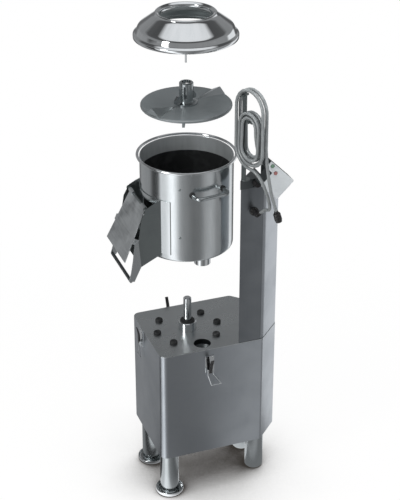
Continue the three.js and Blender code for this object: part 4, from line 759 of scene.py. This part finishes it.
def cut_out(bm, chosen):
    """Takes away the faces whose middle a test picks."""
    bmesh.ops.delete(bm, geom=[f for f in bm.faces if chosen(f.calc_center_median())],
                     context="FACES_ONLY")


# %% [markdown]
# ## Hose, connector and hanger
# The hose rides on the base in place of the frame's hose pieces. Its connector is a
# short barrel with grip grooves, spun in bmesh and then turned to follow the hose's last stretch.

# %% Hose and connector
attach(hose, "base")
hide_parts("hose_coil", "hose_free_end", "hose_inlet_end")
hose_tip, hose_before = free[-1], free[-2]
lean = (hose_tip - hose_before).normalized()
NECK, NUT = 10, 38
NECK_RADIUS, COLLAR_RADIUS, GRIP_RADIUS, GROOVE_RADIUS, MOUTH_RADIUS = 8.5, 13.6, 15, 14, 7.5
LIP_RADIUS, MOUTH_DEPTH, GRIP_END = 13.2, 12, 8
CONNECTOR = [(0, 0), (NECK_RADIUS, 0, 1), (NECK_RADIUS, NECK), (COLLAR_RADIUS, NECK, 1.5),
             (GRIP_RADIUS, NECK + 4, 1), (GRIP_RADIUS, NECK + 9), (GROOVE_RADIUS, NECK + 10),
             (GROOVE_RADIUS, NECK + 13), (GRIP_RADIUS, NECK + 14),
             (GRIP_RADIUS, NECK + NUT - GRIP_END, 1), (LIP_RADIUS, NECK + NUT - GRIP_END + 1),
             (LIP_RADIUS, NECK + NUT, 1), (MOUTH_RADIUS, NECK + NUT, 1),
             (MOUTH_RADIUS, NECK + NUT - MOUTH_DEPTH), (0, NECK + NUT - MOUTH_DEPTH)]
connector_mesh = spin_round(bmesh.new(), CONNECTOR, steps=40)
to_tip = Matrix.Translation(at(*(hose_tip + lean * JOIN)))
aim = to_tip @ lean.to_track_quat("Z", "Y").to_matrix().to_4x4() @ Matrix.Translation(-AXIS)
bmesh.ops.transform(connector_mesh, matrix=aim, verts=connector_mesh.verts)
connector = finish_piece("hose_connector_fitting", connector_mesh, black_plastic, "base",
                         ("hose_connector",))
fair_copy("hose_hanger", dark_sheet, "base", edge=0.8)
fair_copy("inlet_elbow", black_plastic, "base", edge=0.8)

# %% [markdown]
# ## Cabinet
# The cabinet is one folded sheet: soft bends at the left corners, two slanted faces at the right.
# Its plan is drawn as one face, the corners are bevelled, and the rim is drawn up to full height.

# %% The cabinet's plan
CABINET_FOOT, CABINET_TOP, SHEET = 220, 727, 2.5
LEFT, RIGHT, HALF, CHAMFER, CORNER, BEND = -184, 366, 192, 102, 30, 7
FOLD_STEPS = 5
PLAN = [(LEFT, -HALF), (RIGHT - CHAMFER, -HALF), (RIGHT, -HALF + CHAMFER), (RIGHT, HALF - CHAMFER),
        (RIGHT - CHAMFER, HALF), (LEFT, HALF)]


def draw_plan(bm, height_here):
    """The cabinet's plan as one face, with its folds rounded."""
    spots = [bm.verts.new(at(x, y, height_here)) for x, y in PLAN]
    bm.faces.new(spots)
    for chosen, radius in (((0, 5), CORNER), ((1, 2, 3, 4), BEND)):
        bmesh.ops.bevel(bm, geom=[spots[i] for i in chosen], offset=radius * MM,
                        segments=FOLD_STEPS, profile=0.5, affect="VERTICES", material=-1)


print("cabinet plan", RIGHT - LEFT, "by", 2 * HALF, "mm")

# %% Cabinet walls
walls = bmesh.new()
draw_plan(walls, CABINET_FOOT)
grown = bmesh.ops.extrude_face_region(walls, geom=walls.faces[:])["geom"]
bmesh.ops.translate(walls, verts=[g for g in grown if isinstance(g, bmesh.types.BMVert)],
                    vec=(0, 0, (CABINET_TOP - CABINET_FOOT) * MM))
ends = [f for f in walls.faces if abs(f.normal.z) > STEEP]
bmesh.ops.delete(walls, geom=ends, context="FACES_ONLY")
PANEL_X, PANEL_Z, LAP = (-60, 240), (260, 620), 16
low = at(PANEL_X[0] + LAP, HALF, PANEL_Z[0] + LAP)
high = at(PANEL_X[1] - LAP, HALF, PANEL_Z[1] - LAP)
for place, normal in ((low, (1, 0, 0)), (high, (1, 0, 0)), (low, (0, 0, 1)), (high, (0, 0, 1))):
    cut_along(walls, place, normal, lambda middle: middle.y > low.y - MM)
cut_out(walls, lambda middle: low.x < middle.x < high.x and low.z < middle.z < high.z
        and middle.y > low.y - MM)
finish_piece("cabinet_folded_sheet", walls, cabinet_steel, "base", ("cabinet_shell",),
             wall=SHEET, edge=0.7)
fair_copy("service_panel", cabinet_steel, "base", edge=0.4)
fair_copy("base_frame", dark_sheet, "base", edge=0.5)

# %% [markdown]
# ## Top plate
# The plate closes the cabinet. It has a hole for the bearing collar and the drain hole, so its
# rim and both circles are filled as one face with holes, and the sheet gets its thickness after.

# %% Top plate
COLLAR, DRAIN_HOLE, DRAIN = 37.8, 36, (16, -137)
plate = bmesh.new()
draw_plan(plate, PLATE_TOP)
bmesh.ops.delete(plate, geom=plate.faces[:], context="FACES_ONLY")
for radius, spot in ((COLLAR, (0, 0)), (DRAIN_HOLE, DRAIN)):
    bmesh.ops.create_circle(plate, cap_ends=False, segments=64, radius=radius * MM,
                            matrix=Matrix.Translation(at(*spot, PLATE_TOP)))
bmesh.ops.triangle_fill(plate, use_beauty=True, use_dissolve=True, edges=plate.edges[:],
                        normal=(0, 0, 1))
finish_piece("top_plate_sheet", plate, plate_steel, "base", ("top_plate",),
             wall=PLATE_TOP - CABINET_TOP, edge=1.2)

# %% [markdown]
# ## Legs, feet and pads
# Four round tubes carry the cabinet. The left pair stands in dished feet of bright steel, the
# right pair ends in plain plugs. Six rubber pads with a dimple carry the drum.

# %% Legs and feet
LEG_RADIUS, LEG_WALL, LEG_START, PLUG_INSIDE = 40, 3, 6, 20
LEGS = {"front_left": (-130, -124), "back_left": (-130, 124), "front_right": (284, -76),
        "back_right": (284, 76)}
OPEN_END = [(LEG_RADIUS - LEG_WALL, LEG_START), (LEG_RADIUS, LEG_START)]
PLUG = [(0, 0), (LEG_RADIUS - 8, 0, 2), (LEG_RADIUS, 8, 2), (LEG_RADIUS, 14)]
for where, spot in LEGS.items():
    on_foot = "left" in where
    tube = [(LEG_RADIUS, CABINET_FOOT), (LEG_RADIUS - LEG_WALL, CABINET_FOOT),
            (LEG_RADIUS - LEG_WALL, PLUG_INSIDE)]
    tube = OPEN_END + tube + OPEN_END[:1] if on_foot else PLUG + tube
    leg = spin_round(bmesh.new(), tube, centre=spot, steps=64)
    finish_piece(f"leg_{where}_tube", leg, leg_steel, "base", (f"leg_{where}",))
FOOT, FOOT_RIM, SOCKET = 60, 20, 36.7
DISH = [(0, 0), (FOOT - 8, 0, 3), (FOOT, 8, 4), (FOOT, FOOT_RIM, 1.8), (FOOT - 4, FOOT_RIM, 1.8),
        (FOOT - 4, 10, 4), (FOOT - 10, LEG_START, 3), (SOCKET, LEG_START), (SOCKET, 18), (0, 18)]
for where in ("front_left", "back_left"):
    foot = spin_round(bmesh.new(), DISH, centre=LEGS[where], steps=64)
    finish_piece(f"foot_{where}_dish", foot, lid_steel, "base", (f"foot_{where}",))

# %% Rubber pads
PAD_CIRCLE, PAD_RADIUS, PAD_HEIGHT = 134, 16, 12
PAD_TURNS = (0, 45, 135, 180, 225, 315)
PAD = [(0, 0), (PAD_RADIUS, 0), (PAD_RADIUS, 8, 1.5), (12, PAD_HEIGHT, 1.5), (5, PAD_HEIGHT, 0.8),
       (4, 9, 0.8), (0, 9)]
for number, degrees in enumerate(PAD_TURNS, 1):
    turn = math.radians(degrees)
    pad = spin_round(bmesh.new(), [(p[0], PLATE_TOP + p[1], *p[2:]) for p in PAD], steps=32,
                     centre=(PAD_CIRCLE * math.cos(turn), PAD_CIRCLE * math.sin(turn)))
    finish_piece(f"bumper_pad_{number}_rubber", pad, rubber, "base", (f"bumper_pad_{number}",))

# %% [markdown]
# ## Shaft, collar and the drive inside
# Only the collar, its seal and the shaft's end show above the plate. The belt drive below is
# hidden, but it turns with the joints, so it keeps its own solids with softened edges.

# %% Shaft group and drive
for node, body, material, slot_name in (
        ("bearing_housing", "base", bright_steel, "polished_steel"),
        ("upper_bearing", "base", bright_steel, "brushed_sheet"),
        ("lower_bearing", "base", bright_steel, "brushed_sheet"),
        ("shaft_seal", "base", rubber, "black_rubber"),
        ("drive_shaft", "spindle", bright_steel, "polished_steel"),
        ("driven_pulley", "spindle", disc_face, "disc_metal"),
        ("motor_pulley", "motor_rotor", disc_face, "disc_metal"),
        ("drive_belt", "base", rubber, "black_rubber"),
        ("motor_body", "base", motor_paint, "motor_paint"),
        ("motor_bracket", "base", dark_sheet, "brushed_sheet"),
        ("drain_funnel", "base", deep_sheet, "brushed_sheet")):
    fair_copy(node, material, body)

# %% [markdown]
# ## Drum
# The drum is a spun shell with a rolled rim, an opening for the chute, a bottom hole with an
# upstand and a drain spout. The wall is spun as one skin, cut along the opening's edges with
# planes, and thickened inwards. A dark rough lining covers the lower part inside.

# %% The drum's measures and its window
DRUM, DRUM_WALL, DRUM_HEIGHT, RIM_BEAD, RIM_CIRCLE = 188, 2.5, 398, 5.5, 196.5
UNDER_RIM = DRUM_HEIGHT - 9
WINDOW_HALF, WINDOW = 115.5, (36, 240)
WINDOW_SIDE = -100
UPSTAND = (44, 32)


def level(z):
    """A height above the drum's floor as a height of the drawing."""
    return DRUM_FLOOR + z


def cut_window(bm):
    """Cuts the chute's opening out of a round wall, on its left side."""
    left_side = at(WINDOW_SIDE, 0, 0).x
    for side in (-WINDOW_HALF, WINDOW_HALF):
        cut_along(bm, at(0, side, 0), (0, 1, 0), lambda middle: middle.x < left_side
                  and middle.z > level(LINING_START) * MM)
    cut_out(bm, lambda middle: middle.x < left_side
            and abs(middle.y - AXIS.y) < WINDOW_HALF * MM
            and level(WINDOW[0]) * MM < middle.z < level(WINDOW[1]) * MM)


print("drum window", 2 * WINDOW_HALF, "by", WINDOW[1] - WINDOW[0], "mm")

# %% Drum shell
drum = spin_round(bmesh.new(), [(UPSTAND[0], level(UPSTAND[1])), (UPSTAND[0], level(0), 1.5),
                                (DRUM, level(0), 12), (DRUM, level(WINDOW[0])),
                                (DRUM, level(WINDOW[1])), (DRUM, level(UNDER_RIM))], steps=128)
cut_window(drum)
finish_piece("drum_spun_shell", drum, drum_steel, "drum", ("drum_shell",),
             wall=DRUM_WALL, edge=0.5, sharp=40, inside=inner_steel)

# %% Rolled rim and drain spout
SPOUT, SPOUT_WALL, SPOUT_DROP, SPOUT_FLANGE = 33, 2.5, 33, 6
# The bead is nearly closed: degrees from outside, counted upwards
BEAD_TURNS = range(-150, 211, 30)
rim = bmesh.new()
bead = [(RIM_CIRCLE + RIM_BEAD * math.cos(math.radians(a)),
         level(DRUM_HEIGHT - RIM_BEAD) + RIM_BEAD * math.sin(math.radians(a)))
        for a in BEAD_TURNS]
spin_round(rim, bead, steps=128)
spin_round(rim, [(SPOUT - SPOUT_WALL, level(2)), (SPOUT - SPOUT_WALL, level(-SPOUT_DROP), 1),
                 (SPOUT, level(-SPOUT_DROP), 1), (SPOUT, level(-3), 2),
                 (SPOUT + SPOUT_FLANGE, level(-1)), (SPOUT + SPOUT_FLANGE, level(0))],
           centre=DRAIN, steps=48)
finish_piece("drum_rim_and_spout", rim, lid_steel, "drum", ())

# %% Lining
LINING, LINING_WALL, LINING_TOP = 185.1, 2.8, 325
lining = spin_round(bmesh.new(), [(LINING, level(LINING_START)), (LINING, level(WINDOW[1])),
                                  (LINING, level(LINING_TOP))], steps=128)
cut_window(lining)
finish_piece("drum_rough_lining", lining, lining_coat, "drum", ("drum_lining",),
             wall=LINING_WALL, edge=0.6)

# %% [markdown]
# ## Drum handle
# A bent steel bar stands off the drum on two round rubber mounts.

# %% Drum handle
HANDLE_TURN, HANDLE_LEVEL, HANDLE_HALF, HANDLE_REACH = math.radians(-82), 298, 68, 226.5
HANDLE_BAR, HANDLE_BEND = 8, 20


def handle_point(across, along):
    """A point at the handle's level, from its middle: across it and out from the axis."""
    return (along * math.cos(HANDLE_TURN) - across * math.sin(HANDLE_TURN),
            along * math.sin(HANDLE_TURN) + across * math.cos(HANDLE_TURN), level(HANDLE_LEVEL))


root = math.sqrt(DRUM ** 2 - HANDLE_HALF ** 2)
handle = bent_bar(bmesh.new(), [handle_point(-HANDLE_HALF, root - 1),
                                handle_point(-HANDLE_HALF, HANDLE_REACH),
                                handle_point(HANDLE_HALF, HANDLE_REACH),
                                handle_point(HANDLE_HALF, root - 1)], HANDLE_BAR, HANDLE_BEND)
finish_piece("drum_handle_bar", handle, leg_steel, "drum", ("drum_handle",))
# Each mount is two short barrels: radius, start and stop, the latter from the drum's wall
MOUNT = ((12, -4, 5), (10, 5, 9))
mounts = bmesh.new()
for side in (-HANDLE_HALF, HANDLE_HALF):
    for radius, start, stop in MOUNT:
        bent_bar(mounts, [handle_point(side, root + start), handle_point(side, root + stop)],
                 radius, 0, sides=28)
finish_piece("drum_handle_mounts", mounts, rubber, "drum", (), edge=1.2)

# %% [markdown]
# ## Rivets
# Two dark rivet heads sit on the drum's front, one above the other. They are a few millimetres
# high, so a short bar with a bevelled rim is enough.

# %% Rivets on the drum
RIVET, RIVET_HEAD, RIVET_ROOT, RIVET_TURN = 5, 2, -1, math.radians(-118)
RIVET_LEVELS = (110, 320)
rivets = bmesh.new()
for height_here in RIVET_LEVELS:
    bent_bar(rivets, [((DRUM + out) * math.cos(RIVET_TURN), (DRUM + out) * math.sin(RIVET_TURN),
                       level(height_here)) for out in (RIVET_ROOT, RIVET_HEAD)], RIVET, 0)
finish_piece("drum_rivets", rivets, dark_sheet, "drum", (), edge=0.8)

# %% [markdown]
# ## Chute, hatch and bail
# The chute's cheeks and its hinge rod are flat work and stay as the frame has them, with rounded
# edges. Its flange lies round the drum and has the drum's own finish. The hatch is a brushed
# plate that hangs on the rod, and the bail is a pair of flat arms with a dark round bar.

# %% Chute, hatch and bail
FLANGE_REACH = 196
BAIL_BAR = at(-282, 0, level(-69))
BAIL_BAR_RADIUS = 7.5


def on_flange(normal, middle):
    """True for the chute's flange, which lies close round the drum."""
    return (middle - AXIS).to_2d().length < FLANGE_REACH * MM and abs(normal.z) < STEEP


def on_bar(normal, middle):
    """True for the bail's bar, but for its ends."""
    from_bar = math.hypot(middle.x - BAIL_BAR.x, middle.z - BAIL_BAR.z)
    return from_bar < BAIL_BAR_RADIUS * MM and abs(normal.y) < STEEP


chute = fair_copy("chute_frame", dark_sheet, "drum")
second_finish(chute, drum_steel, on_flange)
fair_copy("hatch_door", door_steel, "hatch")
bail = fair_copy("hatch_bail", plate_steel, "bail", edge=0.8)
second_finish(bail, deep_sheet, on_bar)

# %% [markdown]
# ## Peeling disc and hub
# The disc is a casting with an abrasive top. Two long fins rise out of it like folded corners,
# and two lugs sweep under it. Its slanted faces get a paler steel as a painted highlight, so the
# fins show brighter than the disc.

# %% Disc and hub
SLANTED = (0.2, 0.995)
disc = fair_copy("peeling_disc", disc_face, "disc", edge=1.0)
# The slanted faces take the paler steel as a painted highlight
second_finish(disc, fin_painted_highlight_steel, lambda normal, middle: SLANTED[0] < normal.z < SLANTED[1])
fair_copy("disc_hub", leg_steel, "disc", edge=0.8)

# %% [markdown]
# ## Lid
# A spun lid of polished sheet: brim, upright skirt, a shoulder, a slanted cone and a rolled ring
# round the feed hole. Its inside is left dull.

# %% Lid
LID, LID_RING, FEED, LID_SHEET = 203, 120, 98, 2.5
LID_PROFILE = [(LID, 0), (LID, 13, 3), (LID - 11, 18, 3), (LID - 17, 38, 5), (LID - 23, 45, 6),
               (LID_RING + 5, 86, 5), (LID_RING, 92, 2.5), (LID_RING - 2, 97, 2.5),
               (LID_RING - 8, 98.4, 2), (FEED + 3, 92, 3), (FEED, 80)]
lid = spin_round(bmesh.new(), [(p[0], LID_UNDER + p[1], *p[2:]) for p in LID_PROFILE], steps=128)
finish_piece("lid_spun_sheet", lid, lid_steel, "lid_body", ("lid",),
             wall=LID_SHEET, sharp=60, inside=dark_sheet)
fair_copy("lid_peg", bright_steel, "lid_body")

# %% [markdown]
# ## Column and controls
# The column is a folded slab with a slanted face that runs down onto the cabinet's corner. Its
# front faces get a darker copy of the steel as painted shade, so the front renders darker than its
# slanted face. Its head carries the dark timer knob, and the turned control box, with a pale face
# on a dark body, hangs on a post behind it.

# %% Column and controls
FRONT, PALE_FACE = -0.99, -0.7
column = fair_copy("column", cabinet_steel, "base", edge=1.0)
# The front faces get the darker steel as painted shade
second_finish(column, column_painted_shade_steel, lambda normal, middle: normal.y < FRONT)
fair_copy("column_head", deep_sheet, "base", edge=1.2)
fair_copy("timer_knob", black_plastic, "timer", edge=1.0)
box = fair_copy("control_box", deep_sheet, "box", edge=1.2)
second_finish(box, pale_sheet, lambda normal, middle: normal.y < PALE_FACE)
fair_copy("start_button", green_plastic, "start", edge=0.8)
fair_copy("stop_button", red_plastic, "stop", edge=0.8)
fair_copy("box_post", dark_sheet, "base", edge=0.8)

# %% [markdown]
# ## Toggle latches
# Three latches hold the drum down. Each has a plate with ears, a dark lever and a wire loop.

# %% Latches
for face in ("front", "left", "back"):
    fair_copy(f"latch_base_{face}", bright_steel, "base", edge=0.4)
    fair_copy(f"latch_lever_{face}", black_plastic, f"lever_{face}")
    fair_copy(f"latch_loop_{face}", lid_steel, f"loop_{face}", edge=0.4)

# %% [markdown]
# ## The end
# The last step sets the view transform to Standard.

# %% Finish
scene.view_settings.view_transform = "Standard"
